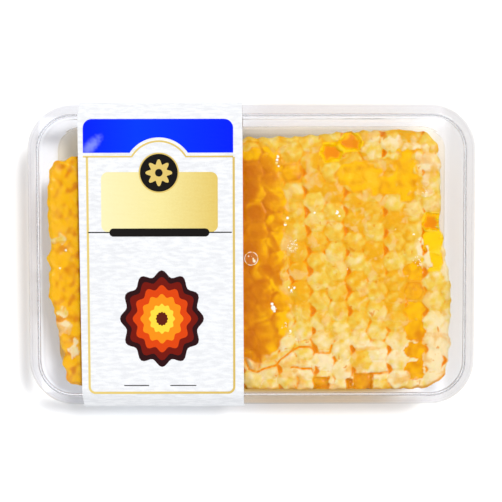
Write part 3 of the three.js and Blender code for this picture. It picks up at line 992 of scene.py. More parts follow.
@dataclass(frozen=True)
class CombSlab:
    """The slab: two layers of cells back to back on a rib, as pieces that stand for one solid.

    The finish reads five numbers on each point: cap is wax against seam, tone the wax's paleness, soak
    how far honey covers it, depth how dark that honey is, and painted_glow how far it is painted bright:
    painted light.
    """

    box: ClearBox
    lattice: CombLattice = CombLattice()
    outline: SlabOutline = SlabOutline()
    face: SlabFace = SlabFace()
    top: float = 28.9
    underside: float = 3.8
    rib: float = 15.6
    rib_half: float = 0.45
    cap_rise: float = 0.5
    cap_skin: float = 0.9
    cap_soft: float = 0.40
    seam_along: tuple = (0.62, 0.30)
    seam_across: tuple = (0.40, 0.45)
    wall: float = 0.32
    clear: float = 0.35
    open_depth: float = 1.3
    cut_reach: float = 4.6
    cut_step: float = 0.25
    rim_reach: float = 2.5
    rim_batches: int = 20
    side_blend: float = 3.0
    upper_grid: tuple = (300, 190)
    under_grid: tuple = (210, 134)
    side_rows: tuple = (0.035, 0.075, 0.12, 0.17, 0.24, 0.32, 0.41, 0.50, 0.59, 0.68, 0.77, 0.85, 0.91,
                        0.955, 1.0)
    side_rough: tuple = (Ripple(0.30, 4.4, 41), Ripple(0.10, 2.6, 42), Ripple(0.05, 1.5, 45))
    end_rough: Ripple = Ripple(0.45, 6.0, 43)
    end_x: tuple = (46.0, 49.0)
    rib_section: tuple = ((-1.0, -0.25), (-0.6, 0.05), (0.0, 0.15), (0.6, 0.05), (1.0, -0.25))
    rib_points: int = 700
    hard_angle: float = 60.0

    def start_block(self, name: str, counts: tuple, levels: int) -> Object:
        """Makes a block whose top is a grid and whose sides are rows of extruded edges.

        Args:
            name: Name of the piece.
            counts: Number of faces of the grid along X and Y.
            levels: Number of rows down the sides.

        Returns:
            The block, of unit size, with the attributes level, column and row on its points.
        """
        block = start_piece(name, bpy.ops.mesh.primitive_grid_add, x_subdivisions=counts[0],
                            y_subdivisions=counts[1], size=1.0)
        with edit_mode(block):
            bpy.ops.mesh.select_mode(type="EDGE")
            bpy.ops.mesh.select_all(action="DESELECT")
            mesh = bmesh.from_edit_mesh(block.data)
            level, column, row = (mesh.verts.layers.int.new(key) for key in ("level", "column", "row"))
            for vertex in mesh.verts:
                vertex[column] = round((vertex.co.x + 0.5) * counts[0])
                vertex[row] = round((vertex.co.y + 0.5) * counts[1])
            for edge in mesh.edges:
                edge.select = edge.is_boundary
            bmesh.update_edit_mesh(block.data)
            for step in range(levels):
                bpy.ops.mesh.extrude_edges_move()
                mesh = bmesh.from_edit_mesh(block.data)
                level = mesh.verts.layers.int["level"]
                for vertex in mesh.verts:
                    if vertex.select:
                        vertex[level] = step + 1
            bpy.ops.mesh.edge_face_add()
            bpy.ops.mesh.select_mode(type="VERT")
        return block

    def take(self, block: Object, key: str) -> Array:
        """Takes one of a block's whole-number attributes off it and returns it."""
        values = np.zeros(len(block.data.vertices), dtype=np.int32)
        layer = block.data.attributes[key]
        layer.data.foreach_get("value", values)
        block.data.attributes.remove(layer)
        return values

    def write(self, block: Object, key: str, values: Array) -> None:
        """Stores a number on each of a block's points."""
        layer = block.data.attributes.new(key, "FLOAT", "POINT")
        layer.data.foreach_set("value", values.astype(np.float32))

    def caps(self, x: Array, y: Array, under: bool) -> dict[str, Array]:
        """Works out the relief of one capped face.

        Args:
            x: Places along X in millimetres.
            y: Places along Y in millimetres.
            under: Whether it is the under layer's face.

        Returns:
            By name: the rise above the seams, cap and tone for the finish, each place's cell, and its
            distance to the cell's wall.
        """
        chance = self.lattice.chance
        column, row = self.lattice.nearest(x, y, under)
        cx, cy = self.lattice.centre(column, row, under)
        borders = self.lattice.borders(x, y, column, row, under)
        seams = []
        for step_column, step_row in self.lattice.around:
            width, swing = self.seam_across if step_column else self.seam_along
            luck = chance(2 * column + step_column, 2 * row + step_row, Luck.SEAM)
            seams.append(width + swing * (luck - 0.5))
        soft = self.cap_soft
        edge = -soft * np.log(np.exp(-(borders + np.stack(seams, axis=1)) / soft).sum(axis=1))
        edge += rolling(x, y, Ripple(0.12, 2.2, 17), Ripple(0.09, 1.2, 18), Ripple(0.14, 13.0, 19))
        edge += 0.25 * ease(x, 36.0, 44.0)
        slant = np.delete(borders, (1, 4), axis=1).min(axis=1) + rolling(x, y, Ripple(0.10, 1.6, 26))
        hole = self.lattice.corner_hole(x, y, column, row, under)
        cap = np.minimum(edge - 0.35 * hole, slant + 0.75 - 1.45 * hole)
        cap += 0.30 * (chance(column, row, Luck.SIZE) - 0.5)
        rise = self.cap_rise * (0.6 + 0.7 * chance(column, row, Luck.RISE))
        lean = 0.05 * ((chance(column, row, Luck.LEAN_X) - 0.5) * (x - cx)
                       + (chance(column, row, Luck.LEAN_Y) - 0.5) * (y - cy))
        wall = borders.min(axis=1)
        height = -0.38 * (1.0 - ease(cap, -0.35, 0.25)) + 0.62 * rise * ease(cap, 0.2, 2.4) + lean
        height -= 0.13 * (1.0 - ease(wall + rolling(x, y, Ripple(0.12, 2.0, 27)), 0.0, 0.55))
        height += rolling(x, y, Ripple(0.045, 1.3, 21), Ripple(0.07, 2.6, 22), Ripple(0.08, 4.4, 23))
        tone = 0.30 + 0.46 * (chance(column, row, Luck.TONE) - 0.5) - 0.22 * (1.0 - ease(wall, 0.05, 0.60))
        tone += rolling(x, y, Ripple(0.10, 2.0, 24), Ripple(0.10, 4.0, 25))
        return {"height": height, "cap": cap, "tone": tone, "column": column, "row": row, "wall": wall}

    def honey_depth(self, x: Array, y: Array, seen: dict[str, Array], cap: Array) -> Array:
        """Works out how dark the honey over the wax is.

        Args:
            x: Places along X in millimetres.
            y: Places along Y in millimetres.
            seen: The capped face's relief.
            cap: Wax against seam.

        Returns:
            The depth, about 0 for light honey and 1 for dark.
        """
        wall = seen["wall"]
        depth = 0.10 + 0.58 * ease(-x, -8.5, -0.5) - 0.40 * ease(y, 22.0, 30.0) - 0.30 * ease(-y, 26.0, 34.0)
        depth += 0.30 * (1.0 - ease(cap, -0.25, 0.35))
        bent_x, bent_y = x + rolling(x, y, Ripple(1.5, 6.0, 71)), y + rolling(x, y, Ripple(1.5, 5.2, 72))
        depth += (rolling(bent_x, bent_y, Ripple(0.22, 7.5, 63))
                  + rolling(bent_y, bent_x, Ripple(0.12, 3.4, 69)))
        luck = self.lattice.chance(seen["column"], seen["row"], Luck.HOLE)
        depth += (0.46 * luck - 0.12) * (ease(wall, 0.4, 1.3) - 0.35)
        joint = 1.0 - ease(wall + rolling(bent_x, bent_y, Ripple(0.22, 2.6, 73)), 0.05, 0.55)
        depth += 0.26 * joint * (0.4 + 0.6 * ease(-x, -12.0, -3.0))
        strip = 0.06 + rolling(x, y, Ripple(0.20, 2.4, 66), Ripple(0.28, 4.4, 67))
        strip -= 0.30 * ease(-x, 51.0, 53.5)
        return np.where(x < self.face.strip_x, strip, depth)

    def upper_face(self, x: Array, y: Array) -> dict[str, Array]:
        """Works out the slab's upper face, with its open cells, wet patches and cracks.

        Args:
            x: Places along X in millimetres.
            y: Places along Y in millimetres.

        Returns:
            The height and what the finish reads, by name.
        """
        face = self.face
        seen = self.caps(x, y, False)
        cap, height, tone, wall = (seen[key] for key in ("cap", "height", "tone", "wall"))
        opened, full, wet, painted_glow_share = (face.listed(seen["column"], seen["row"], cells) for cells in (
            face.open_cells, face.full_cells, face.honey_cells, face.painted_glow_cells))
        dry = face.patches(x, y, face.flakes, face.flake_edge, face.flake_rim)
        spill = face.patches(x, y, face.spills, face.spill_edge, face.spill_rim) * (1.0 - dry)
        soak = face.soaked(x, y) * (1.0 - dry)

        crack = lines_distance(x, y, face.cracks) - face.crack_half
        window = face.window(x, y)
        cap = np.minimum(cap, np.minimum(crack * 1.6, -window * 1.2))
        height = np.minimum(height, 0.6 * ease(crack, -0.1, 0.6) + 0.6 * (crack > 0.6) - 0.45)
        height -= 1.1 * ease(window, -0.1, 0.4)
        drowned = (0.82 * ease(soak, 0.2, 0.8) + 0.98 * ease(spill, 0.2, 0.7)).clip(0, 1)
        height = blend(height, 0.10 + rolling(x, y, Ripple(0.07, 6.5, 31)), drowned)

        ragged = wall + rolling(x, y, Ripple(0.36, 2.4, 37))
        hollow = ease(ragged, self.wall * 0.6, self.wall + 0.5)
        height = blend(height, 0.15 - self.open_depth * hollow, opened)
        cap = np.where(opened > 0, 0.9 - 2.2 * hollow, cap)
        torn = wall + rolling(x, y, Ripple(0.32, 2.6, 39), Ripple(0.14, 1.1, 40))
        full = full * ease(torn, 0.12, 0.42) * (1.0 - dry)
        height = blend(height, rolling(x, y, Ripple(0.05, 4.0, 38)) - 0.12, full)
        cap = blend(cap, -0.6, full)
        wet = wet * ease(wall, 0.0, 0.4)

        depth = blend(self.honey_depth(x, y, seen, cap), 0.12 + rolling(x, y, Ripple(0.1, 4.0, 33)), spill)
        depth = blend(depth, 0.20 + 0.25 * ease(wall, 0.2, 0.5) * (1.0 - ease(wall, 0.6, 0.95)), wet)
        depth = blend(depth, 0.22 + rolling(x, y, Ripple(0.10, 2.5, 64)), full)
        near = ease(-y, 12.0, 27.0)
        frayed = ease(rolling(x, y, Ripple(1.0, 3.0, 65)), -0.4, 0.6) * (1.0 - ease(wall, 0.02, 0.30))
        tone = tone - 0.10 + 0.55 * near + 0.55 * ease(x, 41.0, 50.0) + 0.55 * dry + 0.62 * near * frayed
        height += 0.16 * dry + face.strip(x) * rolling(x, y, Ripple(0.10, 2.2, 68))

        inside = -self.outline.distance(x, y, self.top)
        lip = (1.0 - ease(inside, 0.2, 1.0)) * ease(-y, 30.0, 33.0)
        torn_spot = ease(window, -0.1, 0.3)
        depth = blend(depth, 0.35, np.maximum(lip, torn_spot))
        height -= 0.55 * (1.0 - ease(inside, 0.0, 0.9)) ** 2
        height += self.top + 0.28 * np.sin(0.083 * x + 0.6) + 0.22 * np.sin(0.12 * y - 0.05 * x + 1.1)
        soaks = (soak, 0.95 * wet, full, 0.8 * lip, torn_spot, spill)
        # Painted light: brighter honey where light would shine through lit cells, open cells and spills.
        painted_glows = (0.9 * painted_glow_share * (1.0 - dry), opened * (0.85 - 0.75 * ease(ragged, 0.7, 1.5)),
                 0.35 * spill * ease(rolling(x, y, Ripple(1.0, 5.0, 35)), 0.0, 1.0))
        return {"height": height, "cap": cap, "tone": tone, "soak": np.maximum.reduce(soaks), "depth": depth,
                "painted_glow": np.maximum.reduce(painted_glows)}

    def face_height(self, x: float, y: float) -> float:
        """Returns the height of the upper face at one place."""
        return float(self.upper_face(np.array([x]), np.array([y]))["height"][0])

    def cut_cells(self, ring: Array, away: Array, under: bool, middle: float) -> tuple[Array, Array, Array]:
        """Works out how deep each place of the cut side lies, where a cell was cut open.

        Args:
            ring: Places round the slab's side.
            away: The side's outward direction at each.
            under: Whether the side is the under layer's.
            middle: Height at which a cell counts as cut.

        Returns:
            The depth, the distance to the nearest wall of wax, and the cell's own chance.
        """
        x, y = ring.T
        column, row = self.lattice.nearest(x, y, under)
        out = self.outline.distance(*self.lattice.centre(column, row, under), middle)
        cut = (out > -0.4 * self.lattice.pitch) & (out < 0.5 * self.lattice.pitch)
        wall = self.lattice.borders(x, y, column, row, under).min(axis=1)
        depth = np.zeros_like(x)
        for step in np.arange(self.cut_step, self.cut_reach, self.cut_step):
            back = ring - away * step
            room = self.lattice.borders(back[:, 0], back[:, 1], column, row, under).min(axis=1)
            depth = np.where((room > self.wall) & (depth > step - 0.4), step, depth)
        luck = self.lattice.chance(column, row, Luck.FILL)
        depth *= cut * np.where(luck > 0.55, 0.16 + 0.2 * luck, 0.75) * ease(wall, 0.05, 0.75)
        depth *= 1.0 - 0.80 * ease(-x, *self.end_x)
        for _ in range(2):
            depth = 0.5 * depth + 0.25 * (np.roll(depth, 1) + np.roll(depth, -1))
        return depth, np.where(cut, wall, 0.0), luck

    def roughen_rim(self, places: Array, ring: Array, moves: Array, face_z: float) -> Array:
        """Moves a capped face's places near its rim along with the rough cut side.

        Args:
            places: Places of the face.
            ring: Places of its rim.
            moves: How far each place of the rim moves.
            face_z: Height of the face.

        Returns:
            The places, moved and scaled to their height.
        """
        pull = 1.0 - ease(-self.outline.distance(*places.T, face_z), 0.0, self.rim_reach)
        nearest = np.zeros(len(places), dtype=int)
        for some in np.array_split(np.flatnonzero(pull), self.rim_batches):
            gaps = ((places[some][:, None, :] - ring[None, :, :]) ** 2).sum(axis=2)
            nearest[some] = gaps.argmin(axis=1)
        return (places + moves[nearest] * pull[:, None]) * self.outline.scale(face_z)

    def layer(self, name: str, counts: tuple, under: bool) -> Object:
        """Makes one layer of cells as a closed block.

        Args:
            name: Name of the piece.
            counts: Number of faces of its capped face along X and Y.
            under: Whether it is the under layer.

        Returns:
            The piece, with what the finish reads on its points.
        """
        face_z = self.underside if under else self.top
        heights = blend(face_z, self.rib, np.array(self.side_rows))
        block = self.start_block(name, counts, len(heights))
        level, column, row = (self.take(block, key) for key in ("level", "column", "row"))
        place = self.outline.spread(column / counts[0], row / counts[1])
        rim_index = self.rim_order(column, row, counts)
        grid, side = level == 0, level > 0
        first = grid & (rim_index >= 0)
        ring = np.zeros((2 * (counts[0] + counts[1]), 2))
        ring[rim_index[first]] = place[first]
        away = outward(ring, 2)
        rough = rolling(*ring.T, *self.side_rough)
        rough += ease(-ring[:, 0], *self.end_x) * rolling(*ring.T, self.end_rough)
        if under:
            seen = self.caps(*place.T, True)
            seen["height"] = face_z - seen["height"]
            for key, value in (("soak", 0.25), ("depth", 0.2), ("painted_glow", 0.0)):
                seen[key] = np.full(len(place), value)
        else:
            seen = self.upper_face(*place.T)

        middle = blend(min(face_z, self.rib), max(face_z, self.rib), 0.6)
        at = rim_index[side]
        cut_depth, wall, luck = (values[at] for values in self.cut_cells(ring, away, under, middle))
        z = heights[level[side] - 1]
        from_face, from_rib = np.abs(z - face_z), np.abs(z - self.rib)
        head = rolling(0.9 * at, 3.0 * z, Ripple(0.9, 5.0, 46))
        hollow = ease(from_face - head, self.cap_skin * 0.7, self.cap_skin + 1.0 + 1.2 * luck)
        hollow *= ease(from_rib + 0.5 * head, self.rib_half, 1.6)
        depth = cut_depth * hollow
        by_face = 1.0 - ease(from_face, 0.0, self.side_blend)
        proud = rough[at] * (0.4 + 0.6 * by_face) + rolling(1.02 * at, 2.0 * z, Ripple(0.12, 3.0, 44)) - depth
        edge_height = np.zeros(len(ring))
        edge_height[rim_index[first]] = seen["height"][first]
        points = np.zeros((len(level), 3))
        points[grid, :2] = self.roughen_rim(place[grid], ring, away * rough[:, None], face_z)
        points[grid, 2] = seen["height"][grid]
        points[side, :2] = place[side] * self.outline.scale(z)[:, None] + away[at] * proud[:, None]
        points[side, 2] = z + by_face * (edge_height[at] - face_z) * (from_rib / abs(face_z - self.rib))
        points = self.box.hold_inside(points, self.clear)
        block.data.vertices.foreach_set("co", (points * MM).ravel())

        cell = 0.5 + 0.5 * np.sin(40.0 * luck)
        film = rolling(0.34 * at, z, Ripple(1.0, 1.9, 47))
        # painted_glow on the cut side is painted light shining through the cells.
        on_side = {"cap": 0.75 - (0.95 + 0.25 * film) * ease(wall + 0.16 * film, 0.25, 0.95) * hollow,
                   "tone": 0.95 + 0.35 * luck,
                   "soak": 0.15 * luck + 0.10 * cell,
                   "depth": 0.10 + 0.10 * depth + 0.42 * cell + 0.16 * film,
                   "painted_glow": 0.12 + 0.35 * (1.0 - cell) * hollow}
        for key, values in on_side.items():
            seen[key][side] = values
            self.write(block, key, seen[key])
        with edit_mode(block):
            bpy.ops.mesh.normals_make_consistent(inside=False)
        return smooth_faces(block, self.hard_angle)

    def rim_order(self, column: Array, row: Array, counts: tuple) -> Array:
        """Returns the place of each point in the grid's rim, anticlockwise, or -1 inside it."""
        across, up = counts
        order = np.full(column.shape, -1)
        order = np.where(column == 0, 2 * across + up + (up - row), order)
        order = np.where(row == up, across + up + (across - column), order)
        order = np.where(column == across, across + row, order)
        order = np.where(row == 0, column, order)
        return order % (2 * (across + up)) * (order >= 0) - (order < 0)

    def build_rib(self) -> Object:
        """Returns the sheet of wax between the layers, with a slightly proud, uneven edge."""
        rim = self.outline.side(0, len(self.outline.points) - 1, np.linspace(0.0, 1.0, self.rib_points))
        away = outward(rim, 1)
        rings = []
        for share, proud in self.rib_section:
            wavy = proud + rolling(*rim.T, Ripple(0.12, 4.0, 51))
            flat = rim * self.outline.scale(self.rib) + away * wavy[:, None]
            level = self.rib + share * self.rib_half + rolling(*rim.T, Ripple(0.18, 14.0, 52))
            rings.append(self.box.hold_inside(np.column_stack([flat, level]), self.clear))
        sheet = loft("comb_rib", rings)
        # The rib gets a little painted glow: painted light.
        for key, value in (("cap", 0.8), ("tone", 0.6), ("soak", 0.1), ("depth", 0.2), ("painted_glow", 0.1)):
            self.write(sheet, key, np.full(len(sheet.data.vertices), value))
        return smooth_faces(sheet, self.hard_angle)

    def build(self) -> None:
        """Builds and dresses the layers and the rib."""
        finish = WaxFinish().build()
        dress(self.layer("comb_upper", self.upper_grid, False), finish, Slot.WAX, "comb")
        dress(self.layer("comb_under", self.under_grid, True), finish, Slot.WAX, "comb")
        dress(self.build_rib(), finish, Slot.WAX, "comb")


# ---- trim on the comb ---------------------------------------------------------------------------
@dataclass(frozen=True)
class CombTrim:
    """An air bubble, painted highlights and white crumbs of wax that lie on the slab's face.

    The bubble and the highlight beads are given by x, y and radius, the beds of crumbs by x, y, reach and
    count.
    A shape is what balls takes as flat, sunk and rounds.
    """

    slab: CombSlab
    bubble: tuple = (-0.1, -0.75, 1.75)
    # Lift and width of the pale ring round the bubble, a painted highlight.
    highlight_ring_lift: float = 0.12
    highlight_ring_width: float = 0.10
    # Pale beads that stand for glints: painted highlights.
    highlight_beads: tuple = (
        (0.65, -1.35, 0.42), (0.35, -0.75, 0.26), (-0.75, -0.15, 0.20), (7.0, 26.3, 0.42), (6.8, 25.4, 0.36),
        (6.6, 24.5, 0.40), (7.2, 23.8, 0.28), (9.6, 10.0, 0.42), (8.9, 8.4, 0.48), (16.7, 11.4, 0.30),
        (5.4, -12.9, 0.42), (5.7, -13.9, 0.62), (6.0, -14.7, 0.46), (10.3, -20.2, 0.40), (10.1, -20.9, 0.34),
        (10.0, -21.5, 0.26), (10.7, -9.2, 0.45), (11.4, -8.6, 0.38), (9.9, -8.4, 0.32), (10.1, 1.9, 0.30),
        (22.6, 11.5, 0.55), (23.3, 10.6, 0.35), (25.4, -3.6, 0.26), (43.1, 5.5, 0.34), (44.6, 4.1, 0.26),
        (38.2, 6.9, 0.24), (-49.3, 1.6, 0.34), (-50.9, -3.2, 0.28),
    )
    crumb_beds: tuple = ((10.7, 2.5, 1.5, 26), (10.6, -9.0, 0.9, 10), (46.3, 16.6, 1.1, 14),
                         (5.9, -14.3, 0.8, 9), (11.6, 3.6, 0.9, 10), (43.9, -1.6, 1.3, 12),
                         (8.4, -18.6, 1.0, 8))
    crumb_radius: tuple = (0.07, 0.19)
    crumb_seed: int = 12
    bubble_shape: tuple = (0.5, 0.1, 4)
    highlight_bead_shape: tuple = (0.40, 0.05, 3)
    crumb_shape: tuple = (0.6, 0.0, 1)
    hard_angle: float = 60.0

    def balls(self, name: str, places: Sequence[tuple], flat: float, sunk: float, rounds: int) -> Object:
        """Joins flattened balls that sit on the slab's face.

        Args:
            name: Name of the piece.
            places: Each ball's x, y and radius.
            flat: Height of a ball as a share of its width.
            sunk: How deep its centre lies under the face, as a share of its radius.
            rounds: Rounds of subdivision of each ball.

        Returns:
            The piece.
        """
        parts = []
        for x, y, radius in places:
            z = self.slab.face_height(x, y) - sunk * radius
            part = start_piece(name, bpy.ops.mesh.primitive_ico_sphere_add, subdivisions=rounds,
                               radius=radius * MM)
            with edit_mode(part):
                bpy.ops.transform.resize(value=(1.0, 1.0, flat))
                bpy.ops.transform.translate(value=(x * MM, y * MM, z * MM))
            parts.append(part)
        take_up(parts[0])
        for part in parts:
            part.select_set(True)
        bpy.ops.object.join()
        return smooth_faces(name_piece(name), self.hard_angle)

    def rim(self) -> Object:
        """Returns the pale ring round the air bubble: a painted highlight."""
        x, y, radius = self.bubble
        z = self.slab.face_height(x, y) + self.highlight_ring_lift
        ring = start_piece("bubble_painted_highlight", bpy.ops.mesh.primitive_torus_add, major_radius=radius * MM,
                           minor_radius=self.highlight_ring_width * MM, major_segments=48, minor_segments=8)
        with edit_mode(ring):
            bpy.ops.transform.translate(value=(x * MM, y * MM, z * MM))
        return smooth_faces(ring, self.hard_angle)

    def crumbs(self) -> list:
        """Returns the places and sizes of the crumbs of wax, scattered in their beds."""
        draw = np.random.default_rng(self.crumb_seed)
        places = []
        for x, y, reach, count in self.crumb_beds:
            for _ in range(count):
                angle, away = draw.uniform(0.0, 2.0 * math.pi), reach * math.sqrt(draw.uniform())
                places.append((x + away * math.cos(angle), y + away * math.sin(angle),
                               draw.uniform(*self.crumb_radius)))
        return places

    def build(self) -> None:
        """Builds and dresses the bubble, the glints and the crumbs."""
        bubble = self.balls("air_bubble", (self.bubble,), *self.bubble_shape)
        dress(bubble, BubbleFinish().build(), Slot.HONEY, "comb")
        # The beads and the ring round the bubble share a pale glossy finish: painted highlights.
        wet = PaintedHighlightFinish().build()
        dress(self.rim(), wet, Slot.HONEY, "comb")
        dress(self.balls("painted_highlight_beads", self.highlight_beads, *self.highlight_bead_shape), wet, Slot.HONEY, "comb")
        crumbs = self.balls("wax_crumbs", self.crumbs(), *self.crumb_shape)
        dress(crumbs, CrumbFinish().build(), Slot.WAX, "comb")


# ---- honey --------------------------------------------------------------------------------------
@dataclass(frozen=True)
class HoneyPool:
    """Honey that ran out on the tray's floor and reaches just into the tray's sheet."""

    box: ClearBox
    bite: float = 0.15
    foot: tuple = (10.2, 7.5)
    panel_inset: float = 11.5
    heel: tuple = (6.4, 1.25)
    wall_levels: tuple = (2.4, 4.2, 6.0)
    hard_angle: float = 30.0

    def build(self) -> None:
        """Builds and dresses the pool."""
        raised = self.box.sheet - self.bite
        sections = [(self.panel_inset, self.box.panel_z + raised)]
        sections += [(inset, self.box.foot_z + raised) for inset in self.foot]
        sections += [self.heel, *((self.box.inner_inset(z) - self.bite, z) for z in self.wall_levels)]
        pool = loft("honey_pool_body", [self.box.ring(inset, z) for inset, z in sections])
        dress(smooth_faces(pool, self.hard_angle), PoolFinish().build(), Slot.HONEY, "honey_pool")


# ---- sleeve -------------------------------------------------------------------------------------
@dataclass(frozen=True)
class PaperSleeve:
    """Paper band round the left end, with soft folds and slightly skewed ends."""

    left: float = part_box("sleeve")[0].x / MM
    right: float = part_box("sleeve")[1].x / MM
    thickness: float = 0.3
    half_section: tuple = ((36.3, 32.6), (37.5, 31.7), (40.7, 27.5), (40.7, 24.8), (35.2, 0.9), (34.3, 0.0))
    half_width: float = 36.0
    left_skew: float = 0.35
    right_skew: float = 0.12
    fold: float = 1.3
    fold_steps: int = 4
    steps: int = 24
    hard_angle: float = 50.0

    def build(self) -> None:
        """Builds and dresses the band."""
        corners = [*self.half_section, *((-y, z) for y, z in reversed(self.half_section))]
        section = np.array(round_corners(corners[::-1], self.fold, self.fold_steps))
        rings = []
        for share in np.linspace(0.0, 1.0, self.steps + 1):
            x = blend(self.left + self.left_skew, self.right - self.right_skew, share)
            skew = blend(self.left_skew, self.right_skew, share)
            rings.append(np.column_stack([x - skew * section[:, 0] / self.half_width, section]))
        band = loft("sleeve_band", rings, capped=False)
        take_up(band)
        paper = band.modifiers.new("Paper", "SOLIDIFY")
        paper.thickness = self.thickness * MM
        paper.offset = -1.0
        paper.use_rim = True
        bpy.ops.object.modifier_apply(modifier=paper.name)
        dress(smooth_faces(band, self.hard_angle), PaperFinish().build(), Slot.PAPER, "sleeve")


@dataclass(frozen=True)
class SleevePrint:
    """Printed fields on the sleeve's top: plain shapes of ink a few hundredths of a millimetre thick."""

    paper: float = 32.6
    ink: float = 0.03
    lift: float = 0.005
    corner_steps: int = 8
    field_x: tuple = (-44.2, -4.78)
    field_y: tuple = (27.35, 36.2)
    field_corner: float = 2.4
    arch: tuple = (-24.3, 22.1, 9.27)
    arch_steps: int = 24
    frame_x: tuple = (-43.15, -4.65)
    frame_top: float = 26.2
    frame_foot_x: tuple = (-41.35, -6.25)
    frame_foot_y: float = -34.5
    frame_corner: float = 1.6
    frame_width: float = 0.58
    edge_width: float = 0.45
    edge_drop: float = 1.0
    plate: tuple = (-39.5, -8.85, 6.5, 22.3)
    plate_corner: float = 1.8
    bar: tuple = (-37.4, -11.1, 5.33, 7.47)
    bar_corner: float = 1.05
    rule: tuple = ((-43.06, 6.43), (-5.2, 6.43))
    rule_width: float = 0.30
    short_rules: tuple = (((-33.8, -34.16), (-27.2, -34.16)), ((-21.6, -34.16), (-14.7, -34.16)))
    short_width: float = 0.25
    medal_radius: float = 5.3
    medal_ring: float = 0.35
    medal_flower: float = 2.9
    medal_heart: float = 1.0
    medal_petals: tuple = (8, 0.22)
    blossom: tuple = (-23.7, -16.4)
    blossom_stretch: tuple = (0.95, 1.1)
    blossom_petals: tuple = (12, 0.07)
    disc_steps: int = 96
    blossom_rings: tuple = ((10.9, srgb(44, 16, 18)), (9.4, srgb(112, 22, 12)), (7.6, srgb(214, 66, 12)),
                            (5.6, srgb(244, 138, 22)), (3.4, srgb(250, 208, 60)), (1.6, srgb(92, 30, 14)))
    # The blue ink carries a pale smear: a painted reflection.
    blue: InkFinish = InkFinish("ink_blue", (
        (-44.2, srgb(0, 30, 240)), (-30.0, srgb(0, 54, 250)), (-16.0, srgb(0, 42, 246)),
        (-4.8, srgb(0, 30, 238))), 0.4, painted_glare=(-42.0, 29.2))
    gold: InkFinish = InkFinish("ink_gold", (
        (-44.0, srgb(228, 200, 116)), (-4.0, srgb(214, 182, 96))), 0.35, metallic=0.1)
    cream: InkFinish = InkFinish("ink_cream", (
        (-39.5, srgb(243, 232, 178)), (-24.0, srgb(238, 222, 150)),
        (-8.8, srgb(222, 192, 100))), 0.4, metallic=0.1, grain=0.2)
    black: InkFinish = InkFinish("ink_black", (
        (-44.0, srgb(26, 22, 20)), (-4.0, srgb(20, 18, 17))), 0.45)

    def levels(self, layer: int) -> tuple[float, float]:
        """Returns the foot and the top of a layer of ink."""
        return self.paper + self.ink * (layer - 1) + self.lift, self.paper + self.ink * layer + self.lift

    def print_shape(self, name: str, outline: Sequence[tuple], layer: int, finish: Material) -> None:
        """Prints a thin plate from an anticlockwise outline, on one of the layers of ink."""
        flat = np.array(outline, dtype=float)
        rings = [np.column_stack([flat, np.full(len(flat), z)]) for z in self.levels(layer)]
        dress(loft(name, rings), finish, Slot.PAPER, "sleeve")

    def print_line(self, name: str, path: Sequence[tuple], width: float, finish: Material) -> None:
        """Prints a thin line along a path."""
        run = np.array(path, dtype=float)
        ahead = np.vstack([run[1:] - run[:-1], run[-1:] - run[-2:-1]])
        ahead /= np.linalg.norm(ahead, axis=1)[:, None]
        along = ahead + np.vstack([ahead[:1], ahead[:-1]])
        along /= np.linalg.norm(along, axis=1)[:, None]
        across = np.column_stack([-along[:, 1], along[:, 0]]) * width / 2
        low, high = self.levels(1)
        rings = [np.array([(*(point - side), low), (*(point + side), low), (*(point + side), high),
                           (*(point - side), high)]) for point, side in zip(run, across)]
        dress(loft(name, rings), finish, Slot.PAPER, "sleeve")

    def rounded(self, low_x: float, high_x: float, low_y: float, high_y: float, radius: float) -> list:
        """Returns a rectangle with rounded corners, anticlockwise."""
        points = []
        for turn, cx, cy in ((-1, high_x - radius, low_y + radius), (0, high_x - radius, high_y - radius),
                             (1, low_x + radius, high_y - radius), (2, low_x + radius, low_y + radius)):
            points += arc(cx, cy, radius, turn, turn + 1, self.corner_steps)
        return points

    def arched(self, drop: float) -> list:
        """Returns the field's lower edge with its arch, from left to right, moved down by a drop."""
        cx, cy, radius = self.arch
        low = self.field_y[0] - drop
        reach = math.acos(min(1.0, (low - cy) / (radius - drop))) / (math.pi / 2)
        return [(self.field_x[0], low), *arc(cx, cy, radius - drop, 1 + reach, 1 - reach, self.arch_steps),
                (self.field_x[1], low)]

    def disc(self, cx: float, cy: float, radius: float, petals: int = 0, swell: float = 0.0) -> list:
        """Returns a circle, or a flower whose petals swell by a share of the radius."""
        points = []
        for step in range(self.disc_steps):
            angle = 2 * math.pi * step / self.disc_steps
            reach = radius * (1.0 + swell * math.cos(petals * angle))
            points.append((cx + reach * math.cos(angle), cy + reach * math.sin(angle)))
        return points

